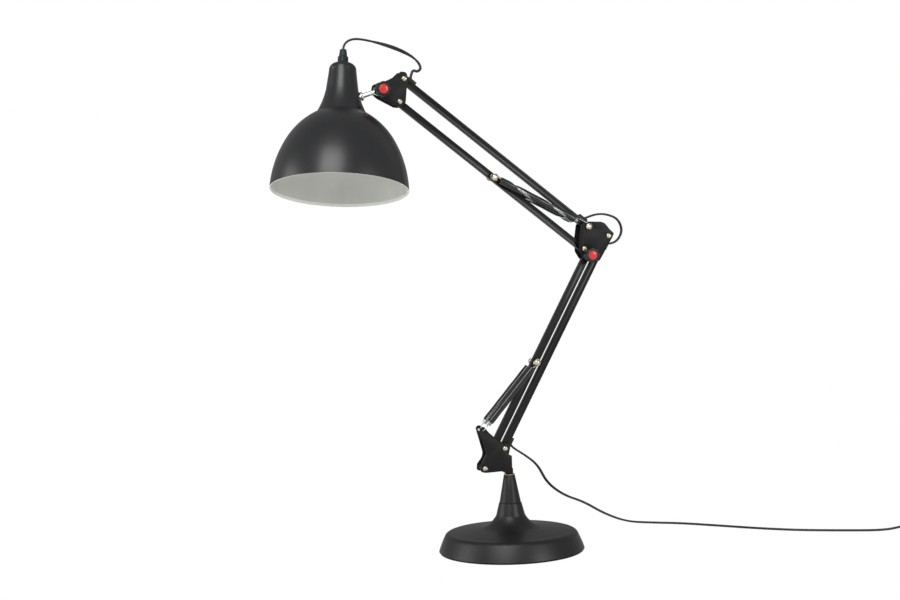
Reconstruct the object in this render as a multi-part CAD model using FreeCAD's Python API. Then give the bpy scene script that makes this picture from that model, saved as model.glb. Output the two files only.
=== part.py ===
"""Counterweight balance desk lamp: a weighted round base, a swivelling bracket, two pairs of
square tubes that work as parallelograms, four tension springs, and a spun shade on a chrome rod.

All lengths are in millimetres. +Z is up, +X points along the arm plane away from the shade, and
the front of the lamp, where the knobs are, faces -Y. The origin is the centre of the underside.
"""
import FreeCAD, Part
import math
import os

V = FreeCAD.Vector
FRONT = -1
BACK = 1
Y_AXIS = V(0, 1, 0)
Z_AXIS = V(0, 0, 1)

# ---------------------------------------------------------------- base
BASE_RADIUS = 100.0
BASE_CREASE_INSET = 8.4
BASE_CREASE_HEIGHT = 23.0
BASE_SIDE_INSET = 4.3
BASE_SIDE_HEIGHT = 14.0
BASE_CREASE_SOFTNESS = 8.0
BASE_CREASE_RISE = 4.4
BASE_TOP_RADIUS = 45.0
BASE_TOP_HEIGHT = 32.5
BASE_FLARE_INSET = 17.4
BASE_FLARE_RISE = 7.6
BASE_NECK_RADIUS = 19.8
BASE_NECK_HEIGHT = 50.0
COVER_TOP_RADIUS = 15.5
COVER_TOP_HEIGHT = 67.0
COVER_WALL = 1.8
PAD_THICKNESS = 2.5
PAD_INSET = 1.4
WEIGHT_HEIGHT = 18.0
WEIGHT_GAP = 1.0
WEIGHT_RECESS_RADIUS = 14.0
WEIGHT_RECESS_DEPTH = 6.0

# ---------------------------------------------------------------- stem
SLEEVE_STEP = 0.8
SLEEVE_TOP_RADIUS = 7.6
SLEEVE_TOP_HEIGHT = 105.5
SLEEVE_WALL = 1.2
POST_RADIUS = 6.0
POST_BORE_RADIUS = 5.05
POST_BOTTOM = 3.6
SEAT_CLEARANCE = 0.15
NUT_ACROSS = 20.0
NUT_THICKNESS = 4.0
BUSH_LENGTH = 26.0
BUSH_FLANGE = 1.0
BUSH_WALL = 0.95
SPINDLE_CLEARANCE = 0.08
SPINDLE_LENGTH = 38.0
SPINDLE_COLLAR_RADIUS = 5.45
RUNNING_GAP = 0.3

# ---------------------------------------------------------------- arms
TUBE_WIDTH = 9.0
TUBE_WALL = 1.0
ARM_LENGTH = 326.0
LOWER_ANGLE = 60.9
UPPER_ANGLE = 140.8
LOWER_MAIN_PIVOT = (-7.6, 143.0)
LOWER_LINK_OFFSET = (-29.2, -25.6)
UPPER_MAIN_OFFSET = (-28.5, 13.8)
UPPER_LINK_OFFSET = (-7.0, -30.4)
HEAD_KNOB_OFFSET = (-31.8, -14.3)
HORN_OFFSET = (-1.3, 51.5)
SPRING_PIN_DISTANCE = 161.0

# ---------------------------------------------------------------- plates and fasteners
PLATE_THICKNESS = 2.0
PLATE_INNER = 9.5
PIVOT_RADIUS = 2.0
PIVOT_CLEARANCE = 0.1
OPEN_PIVOT_CLEARANCE = 0.3
BOLT_HOLE_CLEARANCE = 0.15
SPACER_RADIUS = 4.5
SPACER_GAP = 0.25
SMALL_HEAD_RADIUS = 3.4
SMALL_HEAD_HEIGHT = 2.2
BIG_HEAD_RADIUS = 4.7
BIG_HEAD_HEIGHT = 3.2
ANCHOR_GAP = 1.9
HEAD_RIM = 0.7
SLOT_WIDTH = 1.0
SLOT_DEPTH = 1.0
HEX_ACROSS = 7.0
HEX_HEIGHT = 3.0
PIN_CAP_INNER = 13.2
PIN_COLLAR_RADIUS = 3.4
HORN_HOLE_RADIUS = 1.8
TONGUE_RIGHT = 1.4
TONGUE_LEFT = -8.6
TONGUE_HEIGHT = 3.2
BLOCK_HEIGHT = 17.0
BLOCK_INSET = 0.4

# ---------------------------------------------------------------- knobs
KNOB_BOLT_RADIUS = 2.5
KNOB_WASHER_RADIUS = 7.3
KNOB_WASHER_THICKNESS = 1.5
KNOB_COLLAR_RADIUS = 8.4
KNOB_COLLAR_LENGTH = 4.0
KNOB_RADIUS = 10.2
KNOB_LENGTH = 11.0
KNOB_LOBES = 8
KNOB_FLUTE_RADIUS = 2.6
KNOB_FLUTE_OFFSET = 11.7
KNOB_CAP_RADIUS = 6.1
KNOB_CAP_RISE = 1.0
KNOB_CAP_DEPTH = 2.5
KNOB_CAP_CROWN = 0.8
KNOB_BOLT_CLEARANCE = 0.1
KNOB_BOLT_DEPTH = 10.6
KNOB_BOLT_END_GAP = 0.6
CARRIAGE_HEAD_RADIUS = 5.5
CARRIAGE_HEAD_HEIGHT = 3.0
CARRIAGE_HEAD_RIM = 0.6

# ---------------------------------------------------------------- cord entries in the tubes
ENTRY_START = 4.5
ENTRY_LENGTH = 13.5
ENTRY_HEIGHT = 3.6
ENTRY_WIDTH = 7.6
ENTRY_EXIT = 8.2
ENTRY_SLOPE = 60.0
ENTRY_EDGE = 0.8

# ---------------------------------------------------------------- springs
SPRING_WIRE_RADIUS = 0.6
SPRING_COIL_RADIUS = 3.2
SPRING_SIDE = 10.5
SPRING_CURLS = 24
HOOK_RADIUS = 1.95
EYE_RADIUS = 3.4
EYE_SLACK = 2.0
ANCHOR_EYE_RADIUS = 3.2
LOWER_COIL_START = 11.5
UPPER_COIL_START = 18.5
COIL_END_GAP = 11.0
SLEEVE_OUTER = 4.7
SLEEVE_INNER = 4.1
SLEEVE_SLIT = 4.6
LOWER_SLEEVE_START = 15.9
UPPER_SLEEVE_START = 22.3
SLEEVE_END_GAP = 9.5
LOWER_COIL_ANGLE = 60.0
UPPER_COIL_ANGLE = 180.0

# ---------------------------------------------------------------- head
ROD_ANGLE = 17.3
ROD_RADIUS = 3.25
ROD_EYE_RADIUS = 8.0
ROD_EYE_HALF = 5.8
NECK_DISTANCE = 54.15
SHADE_AXIS_ANGLE = 112.83
SHADE_SWIVEL = 13.2
SHADE_RADIUS = 92.0
SHADE_RIM_DROP = 119.4
SHADE_TOP_RISE = 54.6
SHADE_WALL = 1.1
SHADE_CREASE_RADIUS = 33.6
SHADE_CREASE_DROP = 14.8
SHADE_NECK_RADIUS = 18.3
SHADE_BELL = (5.9, 34.4)
SHADE_WAIST = (17.4, 62.4)
SHADE_SHOULDER = (23.7, 18.2)
ROD_NUT_RADIUS = 6.0
ROD_NUT_THICKNESS = 3.0
ROD_WALL_CROSSING = 23.9
ROD_STUB = 6.0
HOLDER_TOP_RADIUS = 14.5
HOLDER_RADIUS = 19.5
HOLDER_STEP_DROP = 4.0
HOLDER_LENGTH = 80.0
HOLDER_BORE_RADIUS = 14.2
HOLDER_BORE_DEPTH = 24.0
BULB_CAP_RADIUS = 13.2
BULB_RADIUS = 22.5
BULB_NECK_RADIUS = 12.6
BULB_LENGTH = 50.0
GLAND_RADIUS = 7.2
GLAND_HEIGHT = 10.0
RELIEF_RADIUS = 5.7
RELIEF_TOP_RADIUS = 4.4
RELIEF_HEIGHT = 10.0

# ---------------------------------------------------------------- cord
CORD_RADIUS = 2.1
FLOOR_CORD_HEIGHT = 2.2
CORD_BORE_CLEARANCE = 0.2
BEND_SHARE = 0.45
CORD_EXIT_RUN = 5.0
CORD_LONG_EXIT_RUN = 7.0
COIL_OUTER_RADIUS = 34.2
COIL_PITCH = 5.3
COIL_LAYER_HEIGHT = 5.0
COIL_LAYER_TURNS = 2.785
COIL_CLIMB_TURNS = 0.5
COIL_START_ANGLE = 245.0
SWITCH_LENGTH = 58.0
SWITCH_WIDTH = 24.0
SWITCH_HEIGHT = 16.0
SWITCH_ANGLE = -25.0
SWITCH_START = (552.0, -104.0)
SWITCH_NOSE = 14.0
SWITCH_NOSE_WIDTH = 10.0
ROCKER_LENGTH = 20.0
ROCKER_WIDTH = 11.0
ROCKER_DEPTH = 7.0
ROCKER_RISE = 2.0
ROCKER_GAP = 0.4
ROCKER_PIVOT_DEPTH = 2.0
TRUNNION_RADIUS = 1.2
TRUNNION_REACH = 1.2
TRUNNION_CLEARANCE = 0.08
PLUG_LENGTH = 36.0
PLUG_WIDTH = 34.0
PLUG_NOSE_WIDTH = 11.0
PLUG_PIN_RADIUS = 2.0
PLUG_PIN_LENGTH = 19.0
PLUG_PIN_SPACING = 19.0
PLUG_TAIL = 20.0
COIL_APPROACH = 52.0
COIL_FLAT_RUN = 24.0

# Points that the loose cord follows, chosen by eye along the hanging and lying flex. The two loops
# are offsets from the pivot that they hang at.
HEAD_CORD_ROUTE = [(-69.8, 16.2, 53.8), (-57.8, 14.6, 56.9), (-30.8, 11.4, 50.9), (-4.3, 8.8, 42.1),
                   (18.7, 6.6, 30.1), (28.4, 4.6, 16.3), (22.6, 2.6, 9.7), (15.4, 0.9, 12.3)]
ELBOW_CORD_ROUTE = [(-11.4, 0.0, 30.5), (2.1, 0.0, 29.8), (18.1, 0.0, 23.1), (24.3, 0.0, 8.1),
                    (19.3, 0.0, -4.5)]
FREE_CORD_ROUTE = [(24.0, 0.8, 130.4), (43.0, 4.8, 115.0), (57.0, 12.0, 88.5), (86.0, 27.0, 66.5),
                   (122.0, 49.0, 51.5), (160.0, 74.0, 28.0), (202.0, 95.5, 9.0),
                   (246.0, 110.5, 2.2), (283.0, 88.0, 2.2), (327.0, 44.0, 2.2),
                   (369.0, 0.5, 2.2), (413.0, -35.5, 2.2), (470.0, -65.0, 2.2),
                   (519.0, -88.6, 2.6)]


# ---------------------------------------------------------------- small helpers
def plus(point, offset):
    """Sum of two (x, z) pairs."""
    return (point[0] + offset[0], point[1] + offset[1])


def polar(length, angle):
    """(x, z) pair of a length at an angle in degrees from +X towards +Z."""
    turn = math.radians(angle)
    return (length * math.cos(turn), length * math.sin(turn))


def rod_along_y(center, radius, low, high):
    """Round bar parallel to Y at (x, z) center."""
    return Part.makeCylinder(radius, high - low, V(center[0], low, center[1]), Y_AXIS)


def ring_along_y(center, outer, inner, low, high):
    """Washer or tube parallel to Y."""
    return rod_along_y(center, outer, low, high).cut(rod_along_y(center, inner, low - 1, high + 1))


def lathe(outline):
    """Solid of revolution about Z from a closed outline of edges in the XZ plane."""
    face = Part.Face(Part.Wire(outline))
    return face.revolve(V(0, 0, 0), Z_AXIS, 360)


def line(start, end):
    """Edge between two (x, z) pairs in the XZ plane."""
    return Part.LineSegment(V(start[0], 0, start[1]), V(end[0], 0, end[1])).toShape()


def arc(start, middle, end):
    """Arc through three (x, z) pairs in the XZ plane."""
    points = [V(p[0], 0, p[1]) for p in (start, middle, end)]
    return Part.Arc(*points).toShape()


def polygon_lathe(points):
    """Solid of revolution about Z from (radius, height) corners."""
    edges = [line(a, b) for a, b in zip(points, points[1:] + points[:1])]
    return lathe(edges)


def place(shape, placement):
    """A copy of a shape carried by a placement, after any it already has."""
    moved = shape.copy()
    moved.Placement = placement.multiply(moved.Placement)
    return moved


def aim(shape, base, direction):
    """Turns a shape built along +Z to a direction and moves it to a base point."""
    return place(shape, FreeCAD.Placement(base, FreeCAD.Rotation(Z_AXIS, direction)))


def rounded_outline(corners, height):
    """Closed wire in the plane y = height from (x, z, corner radius) corners."""
    flats = []
    bends = []
    count = len(corners)
    for i in range(count):
        here = V(corners[i][0], height, corners[i][1])
        last = V(corners[i - 1][0], height, corners[i - 1][1])
        following = corners[(i + 1) % count]
        after = V(following[0], height, following[1])
        come = (here - last).normalize()
        leave = (after - here).normalize()
        half = come.getAngle(leave) / 2
        radius = corners[i][2]
        reach = radius * math.tan(half)
        inward = (leave - come).normalize()
        middle = here + inward * (radius / math.cos(half) - radius)
        bends.append((here - come * reach, middle, here + leave * reach))
    for i in range(count):
        start, middle, end = bends[i]
        flats.append(Part.Arc(start, middle, end).toShape())
        flats.append(Part.LineSegment(end, bends[(i + 1) % count][0]).toShape())
    return Part.Wire(flats)


def plate(corners, side, holes):
    """Sheet-metal side plate with round holes given as (center, radius)."""
    low = PLATE_INNER if side == BACK else -PLATE_INNER - PLATE_THICKNESS
    solid = Part.Face(rounded_outline(corners, low)).extrude(V(0, PLATE_THICKNESS, 0))
    for center, radius in holes:
        solid = solid.cut(rod_along_y(center, radius, low - 1, low + PLATE_THICKNESS + 1))
    return solid


def around(pivot, offsets):
    """Outline corners given as offsets from a pivot."""
    return [(pivot[0] + dx, pivot[1] + dz, radius) for dx, dz, radius in offsets]


def save(name, shapes):
    """Writes one named node; several solids become one group."""
    if isinstance(shapes, list):
        shapes = Part.makeCompound(shapes)
    shapes.exportStep("parts/" + name + ".step")


# ---------------------------------------------------------------- pivots in the arm plane
LOWER_LINK_PIVOT = plus(LOWER_MAIN_PIVOT, LOWER_LINK_OFFSET)
ELBOW_MAIN_PIVOT = plus(LOWER_MAIN_PIVOT, polar(ARM_LENGTH, LOWER_ANGLE))
ELBOW_KNOB_PIVOT = plus(ELBOW_MAIN_PIVOT, LOWER_LINK_OFFSET)
UPPER_MAIN_PIVOT = plus(ELBOW_MAIN_PIVOT, UPPER_MAIN_OFFSET)
UPPER_LINK_PIVOT = plus(UPPER_MAIN_PIVOT, UPPER_LINK_OFFSET)
HEAD_MAIN_PIVOT = plus(UPPER_MAIN_PIVOT, polar(ARM_LENGTH, UPPER_ANGLE))
HEAD_LINK_PIVOT = plus(HEAD_MAIN_PIVOT, UPPER_LINK_OFFSET)
HEAD_KNOB_PIVOT = plus(HEAD_MAIN_PIVOT, HEAD_KNOB_OFFSET)
HORN_HOLE = plus(LOWER_LINK_PIVOT, HORN_OFFSET)
LOWER_PIN = plus(LOWER_LINK_PIVOT, polar(SPRING_PIN_DISTANCE, LOWER_ANGLE))
UPPER_PIN = plus(UPPER_LINK_PIVOT, polar(SPRING_PIN_DISTANCE, UPPER_ANGLE))
PLATE_OUTER = PLATE_INNER + PLATE_THICKNESS
HALF_TUBE = TUBE_WIDTH / 2
BUSH_TOP = SLEEVE_TOP_HEIGHT + BUSH_FLANGE
COLLAR_BOTTOM = BUSH_TOP + RUNNING_GAP
TONGUE_BOTTOM = COLLAR_BOTTOM + TONGUE_HEIGHT - 1.0
BASE_CREASE_RADIUS = BASE_RADIUS - BASE_CREASE_INSET
SLEEVE_BOTTOM_RADIUS = COVER_TOP_RADIUS - SLEEVE_STEP


# ---------------------------------------------------------------- base
def base_outline(shift):
    """Outer line of the cover, moved inwards and down by shift for its inside."""
    rim = (BASE_RADIUS - shift, PAD_THICKNESS - shift)
    side = (BASE_RADIUS - BASE_SIDE_INSET - shift, BASE_SIDE_HEIGHT - shift)
    crease = (BASE_CREASE_RADIUS - shift, BASE_CREASE_HEIGHT - shift)
    corner = (BASE_CREASE_RADIUS - BASE_CREASE_SOFTNESS * 0.3 - shift,
              BASE_CREASE_HEIGHT + BASE_CREASE_RISE * 0.66 - shift)
    top = (BASE_CREASE_RADIUS - BASE_CREASE_SOFTNESS - shift, BASE_CREASE_HEIGHT + BASE_CREASE_RISE - shift)
    slope = (BASE_TOP_RADIUS - shift, BASE_TOP_HEIGHT - shift)
    flare = (BASE_TOP_RADIUS - BASE_FLARE_INSET - shift, BASE_TOP_HEIGHT + BASE_FLARE_RISE - shift)
    neck = (BASE_NECK_RADIUS - shift, BASE_NECK_HEIGHT - shift)
    mouth = (COVER_TOP_RADIUS - shift, COVER_TOP_HEIGHT - shift)
    edges = [arc(rim, side, crease), arc(crease, corner, top), line(top, slope)]
    edges += [arc(slope, flare, neck), line(neck, mouth)]
    return edges, rim, mouth


def base_cover():
    """Pressed steel cover with its flared neck."""
    solids = []
    for shift in (0.0, COVER_WALL):
        edges, rim, mouth = base_outline(shift)
        low = (0.0, rim[1])
        high = (0.0, mouth[1])
        solids.append(lathe(edges + [line(mouth, high), line(high, low), line(low, rim)]))
    shell = solids[0].cut(solids[1])
    bore = COVER_TOP_RADIUS - COVER_WALL - 0.3
    return shell.cut(Part.makeCylinder(bore, COVER_WALL * 4, V(0, 0, COVER_TOP_HEIGHT - COVER_WALL * 2)))


def base_weight():
    """Cast iron disc that keeps the lamp upright."""
    radius = BASE_CREASE_RADIUS - COVER_WALL - WEIGHT_GAP
    bottom = PAD_THICKNESS
    top = bottom + WEIGHT_HEIGHT
    disc = Part.makeCylinder(radius, WEIGHT_HEIGHT, V(0, 0, bottom))
    disc = disc.makeChamfer(2.0, [e for e in disc.Edges if abs(e.BoundBox.ZMin - top) < 0.01
                                  and abs(e.BoundBox.ZMax - top) < 0.01])
    disc = disc.cut(Part.makeCylinder(POST_RADIUS + SEAT_CLEARANCE, top, V(0, 0, 0)))
    return disc.cut(Part.makeCylinder(WEIGHT_RECESS_RADIUS, WEIGHT_RECESS_DEPTH, V(0, 0, bottom)))


def base_pad():
    """Rubber pad under the base."""
    pad = Part.makeCylinder(BASE_RADIUS - PAD_INSET, PAD_THICKNESS)
    return pad.makeChamfer(0.6, [e for e in pad.Edges if e.BoundBox.ZMax < 0.01])


def hexagon_nut(across, thickness, bottom, bore):
    """Flat hexagon nut about Z."""
    corner = across / math.sqrt(3)
    points = [V(corner * math.cos(k * math.pi / 3), corner * math.sin(k * math.pi / 3), bottom)
              for k in range(7)]
    nut = Part.Face(Part.makePolygon(points)).extrude(V(0, 0, thickness))
    return nut.cut(Part.makeCylinder(bore, thickness + 2, V(0, 0, bottom - 1)))


def stem_nuts():
    """Two nuts that clamp the post to the weight."""
    bore = POST_RADIUS + SEAT_CLEARANCE
    under = hexagon_nut(NUT_ACROSS, NUT_THICKNESS,
                        PAD_THICKNESS + WEIGHT_RECESS_DEPTH - NUT_THICKNESS, bore)
    above = hexagon_nut(NUT_ACROSS, NUT_THICKNESS, PAD_THICKNESS + WEIGHT_HEIGHT, bore)
    return [under, above]


def stem_post():
    """Steel tube from the weight up to the swivel."""
    post = Part.makeCylinder(POST_RADIUS, SLEEVE_TOP_HEIGHT - POST_BOTTOM, V(0, 0, POST_BOTTOM))
    return post.cut(Part.makeCylinder(POST_BORE_RADIUS, SLEEVE_TOP_HEIGHT, V(0, 0, POST_BOTTOM - 1)))


def stem_sleeve():
    """Tapered sleeve that stands on the cover and hides the post."""
    lip = POST_RADIUS + SEAT_CLEARANCE
    return polygon_lathe([(SLEEVE_BOTTOM_RADIUS, COVER_TOP_HEIGHT), (SLEEVE_TOP_RADIUS, SLEEVE_TOP_HEIGHT),
                          (lip, SLEEVE_TOP_HEIGHT), (lip, SLEEVE_TOP_HEIGHT - 4.0),
                          (SLEEVE_BOTTOM_RADIUS - SLEEVE_WALL, COVER_TOP_HEIGHT)])


def swivel_bush():
    """Flanged bush in the top of the post."""
    outer = POST_BORE_RADIUS - 0.05
    bore = outer - BUSH_WALL
    flange = SLEEVE_TOP_RADIUS - 0.3
    return polygon_lathe([(bore, SLEEVE_TOP_HEIGHT - BUSH_LENGTH), (outer, SLEEVE_TOP_HEIGHT - BUSH_LENGTH),
                          (outer, SLEEVE_TOP_HEIGHT), (flange, SLEEVE_TOP_HEIGHT),
                          (flange, BUSH_TOP), (bore, BUSH_TOP)])


# ---------------------------------------------------------------- fasteners
def domed_head(center, radius, height, seat, side):
    """Slotted round head whose flat lies at |y| = seat."""
    head = dome(radius, HEAD_RIM, height)
    slot = Part.makeBox(radius * 2.2, SLOT_WIDTH, SLOT_DEPTH * 2,
                        V(-radius * 1.1, -SLOT_WIDTH / 2, height - SLOT_DEPTH))
    head = head.cut(slot)
    return aim(head, V(center[0], side * seat, center[1]), V(0, side, 0))


def dome(radius, rim, height):
    """Disc about Z with a spherical top; rim is the height of its straight edge."""
    rise = height - rim
    ball = (radius * radius + rise * rise) / (2 * rise)
    half = math.asin(radius / ball) / 2
    middle = (ball * math.sin(half), height - ball * (1 - math.cos(half)))
    return lathe([arc((radius, rim), middle, (0.0, height)), line((0.0, height), (0.0, 0.0)),
                  line((0.0, 0.0), (radius, 0.0)), line((radius, 0.0), (radius, rim))])


def screw(center, seat, head_radius, head_height, reach, shank=PIVOT_RADIUS):
    """Slotted screw along Y with its head at the front."""
    head = domed_head(center, head_radius, head_height, seat, FRONT)
    return head.fuse(rod_along_y(center, shank, -seat - 0.01, reach)).removeSplitter()


def hex_nut_back(center, seat, across=HEX_ACROSS, height=HEX_HEIGHT, bore=PIVOT_RADIUS):
    """Hexagon nut at the back of a screw."""
    nut = hexagon_nut(across, height, 0.0, bore + 0.02)
    return aim(nut, V(center[0], seat, center[1]), Y_AXIS)


def spacer_pair(center, bore=PIVOT_RADIUS, outer=SPACER_RADIUS):
    """Two spacers that keep a tube midway between the plates."""
    low = HALF_TUBE + SPACER_GAP
    hole = bore + 0.05
    front = ring_along_y(center, outer, hole, -PLATE_INNER, -low)
    back = ring_along_y(center, outer, hole, low, PLATE_INNER)
    return [front, back]


# ---------------------------------------------------------------- bracket
def bracket_corners():
    """Outline of the lower side plates, from the spring horn clockwise."""
    corners = around(HORN_HOLE, [(-4.9, 3.4, 3.5), (0.8, 6.8, 3.5), (7.7, -2.0, 9.0)])
    corners += around(LOWER_MAIN_PIVOT, [(-4.5, 6.6, 3.0), (3.5, 7.6, 4.0), (7.2, 0.8, 4.0), (4.7, -8.6, 1.5)])
    corners += [(TONGUE_RIGHT, LOWER_MAIN_PIVOT[1] - 10.2, 1.5), (TONGUE_RIGHT, TONGUE_BOTTOM, 0.8),
                (TONGUE_LEFT, TONGUE_BOTTOM, 0.8), (TONGUE_LEFT, TONGUE_BOTTOM + TONGUE_HEIGHT, 0.8)]
    corners += around(LOWER_LINK_PIVOT, [(1.0, -5.9, 3.0), (-6.6, -4.4, 3.5), (-5.6, 4.6, 3.0), (3.8, 16.0, 14.0)])
    return corners


def bracket_plate(side):
    """Lower side plate with its spring horn."""
    hole = PIVOT_RADIUS + BOLT_HOLE_CLEARANCE
    holes = [(LOWER_MAIN_PIVOT, hole), (LOWER_LINK_PIVOT, hole), (HORN_HOLE, HORN_HOLE_RADIUS)]
    return plate(bracket_corners(), side, holes)


def bracket_spindle():
    """Turned spindle with the block that the side plates are riveted to."""
    bore = POST_BORE_RADIUS - 0.05 - BUSH_WALL
    shaft = Part.makeCylinder(bore - SPINDLE_CLEARANCE, SPINDLE_LENGTH + 1,
                              V(0, 0, COLLAR_BOTTOM - SPINDLE_LENGTH))
    collar = Part.makeCylinder(SPINDLE_COLLAR_RADIUS, TONGUE_HEIGHT + 4.0, V(0, 0, COLLAR_BOTTOM))
    left = TONGUE_LEFT + BLOCK_INSET
    width = TONGUE_RIGHT - BLOCK_INSET - left
    block = Part.makeBox(width, 2 * PLATE_INNER, BLOCK_HEIGHT, V(left, -PLATE_INNER, TONGUE_BOTTOM))
    return shaft.fuse(collar).fuse(block).removeSplitter()


# ---------------------------------------------------------------- square tubes
def square_tube(start, angle, holes):
    """Square tube from a pivot, with rounded ends and cross holes at (distance, radius)."""
    low = -HALF_TUBE
    flat = Part.makeBox(ARM_LENGTH, TUBE_WIDTH, TUBE_WIDTH, V(0, low, low))
    near = rod_along_y((0.0, 0.0), HALF_TUBE, low, HALF_TUBE)
    far = rod_along_y((ARM_LENGTH, 0.0), HALF_TUBE, low, HALF_TUBE)
    tube = flat.fuse(near).fuse(far)
    inner = HALF_TUBE - TUBE_WALL
    bore = Part.makeBox(ARM_LENGTH + 4 * TUBE_WIDTH, 2 * inner, 2 * inner, V(-2 * TUBE_WIDTH, -inner, -inner))
    tube = tube.cut(bore)
    for distance, radius in holes:
        tube = tube.cut(rod_along_y((distance, 0.0), radius, low - 1, HALF_TUBE + 1))
    return settle(tube, start, angle)


def settle(shape, start, angle):
    """Moves a shape built along +X from the origin to a pivot and an angle in the arm plane."""
    turn = FreeCAD.Rotation(Y_AXIS, -angle)
    return place(shape, FreeCAD.Placement(V(start[0], 0, start[1]), turn))


def entry_bore(distance, outward, radius, far):
    """Slanted cord hole at a distance along the tube; outward is +1 or -1 in local z."""
    slope = math.radians(ENTRY_SLOPE)
    lean = math.cos(slope) * (1 if far else -1)
    direction = V(lean, 0, outward * math.sin(slope))
    top = V(distance, 0, outward * (HALF_TUBE + ENTRY_HEIGHT))
    reach = (ENTRY_HEIGHT + TUBE_WALL + 2.0) / math.sin(slope)
    return Part.makeCylinder(radius, reach + 6.0, top - direction * reach, direction)


def cord_entry(far, outward):
    """Moulded boss where the cord enters a tube, in the tube's own line."""
    exit_at = ARM_LENGTH - ENTRY_EXIT if far else ENTRY_EXIT
    start = ARM_LENGTH - ENTRY_START - ENTRY_LENGTH if far else ENTRY_START
    base = HALF_TUBE * outward if outward > 0 else -HALF_TUBE - ENTRY_HEIGHT
    boss = Part.makeBox(ENTRY_LENGTH, ENTRY_WIDTH, ENTRY_HEIGHT, V(start, -ENTRY_WIDTH / 2, base))
    crown = outward * (HALF_TUBE + ENTRY_HEIGHT)
    rims = [e for e in boss.Edges if abs(e.BoundBox.ZMin - crown) < 0.01 and abs(e.BoundBox.ZMax - crown) < 0.01]
    boss = boss.makeFillet(ENTRY_EDGE, rims)
    return boss.cut(entry_bore(exit_at, outward, CORD_RADIUS + CORD_BORE_CLEARANCE, far))


def cord_tube_holes(tube, start, angle, outward):
    """Cuts both slanted cord holes in a tube that is already in place."""
    for far in (False, True):
        exit_at = ARM_LENGTH - ENTRY_EXIT if far else ENTRY_EXIT
        bore = entry_bore(exit_at, outward, CORD_RADIUS + CORD_BORE_CLEARANCE, far)
        tube = tube.cut(settle(bore, start, angle))
    return tube


def cord_entries(start, angle, outward):
    """The two bosses of one tube."""
    return [settle(cord_entry(far, outward), start, angle) for far in (False, True)]


def entry_point(start, angle, outward, far):
    """Where the cord leaves a boss, and its outward direction, in the lamp's frame."""
    distance = ARM_LENGTH - ENTRY_EXIT if far else ENTRY_EXIT
    along = V(math.cos(math.radians(angle)), 0, math.sin(math.radians(angle)))
    across = V(-math.sin(math.radians(angle)), 0, math.cos(math.radians(angle))) * outward
    slope = math.radians(ENTRY_SLOPE)
    lean = math.cos(slope) * (1 if far else -1)
    point = V(start[0], 0, start[1]) + along * distance + across * (HALF_TUBE + ENTRY_HEIGHT)
    return point, along * lean + across * math.sin(slope)


# ---------------------------------------------------------------- spring pins
def spring_pin(center):
    """Cross pin with two caps and two collars that hold the spring eyes off the tube."""
    shank = screw(center, PIN_CAP_INNER, BIG_HEAD_RADIUS, BIG_HEAD_HEIGHT, PIN_CAP_INNER + BIG_HEAD_HEIGHT * 0.5)
    cap = domed_head(center, BIG_HEAD_RADIUS, BIG_HEAD_HEIGHT, PIN_CAP_INNER, BACK)
    cap = cap.cut(rod_along_y(center, PIVOT_RADIUS + 0.02, 0, PIN_CAP_INNER + BIG_HEAD_HEIGHT * 0.5))
    outer = SPRING_SIDE - SPRING_WIRE_RADIUS - RUNNING_GAP
    front = ring_along_y(center, PIN_COLLAR_RADIUS, PIVOT_RADIUS + 0.02, -outer, -HALF_TUBE)
    back = ring_along_y(center, PIN_COLLAR_RADIUS, PIVOT_RADIUS + 0.02, HALF_TUBE, outer)
    return [shank, cap, front, back]


# ---------------------------------------------------------------- elbow
def elbow_corners():
    """Outline of the elbow side plates."""
    corners = around(UPPER_MAIN_PIVOT, [(-11.2, 2.6, 2.0), (-5.5, 7.1, 3.5), (18.4, 5.9, 6.0), (23.6, 3.5, 4.0)])
    corners += around(ELBOW_MAIN_PIVOT, [(2.7, 8.0, 3.0), (8.0, 3.3, 2.0), (5.6, -2.0, 2.0)])
    corners += around(ELBOW_KNOB_PIVOT, [(15.0, -8.4, 2.5), (2.0, -9.0, 6.0), (-7.4, -4.8, 5.0)])
    corners += around(UPPER_LINK_PIVOT, [(-6.8, -4.2, 3.0), (-7.8, 11.0, 12.0)])
    return corners


def elbow_plate(side):
    """Elbow side plate that joins the two parallelograms."""
    hole = PIVOT_RADIUS + BOLT_HOLE_CLEARANCE
    holes = [(ELBOW_MAIN_PIVOT, hole), (UPPER_MAIN_PIVOT, hole), (UPPER_LINK_PIVOT, hole),
             (ELBOW_KNOB_PIVOT, KNOB_BOLT_RADIUS + BOLT_HOLE_CLEARANCE)]
    return plate(elbow_corners(), side, holes)


def knob_bolt(center):
    """Carriage bolt through the plates, with the washer under the knob."""
    reach = knob_seat() + KNOB_BOLT_DEPTH
    shank = rod_along_y(center, KNOB_BOLT_RADIUS, -reach, PLATE_OUTER + 0.01)
    head = aim(dome(CARRIAGE_HEAD_RADIUS, CARRIAGE_HEAD_RIM, CARRIAGE_HEAD_HEIGHT),
               V(center[0], PLATE_OUTER, center[1]), Y_AXIS)
    washer = ring_along_y(center, KNOB_WASHER_RADIUS, KNOB_BOLT_RADIUS + 0.02,
                          -PLATE_OUTER - KNOB_WASHER_THICKNESS, -PLATE_OUTER)
    return [shank.fuse(head).removeSplitter(), washer]


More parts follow.
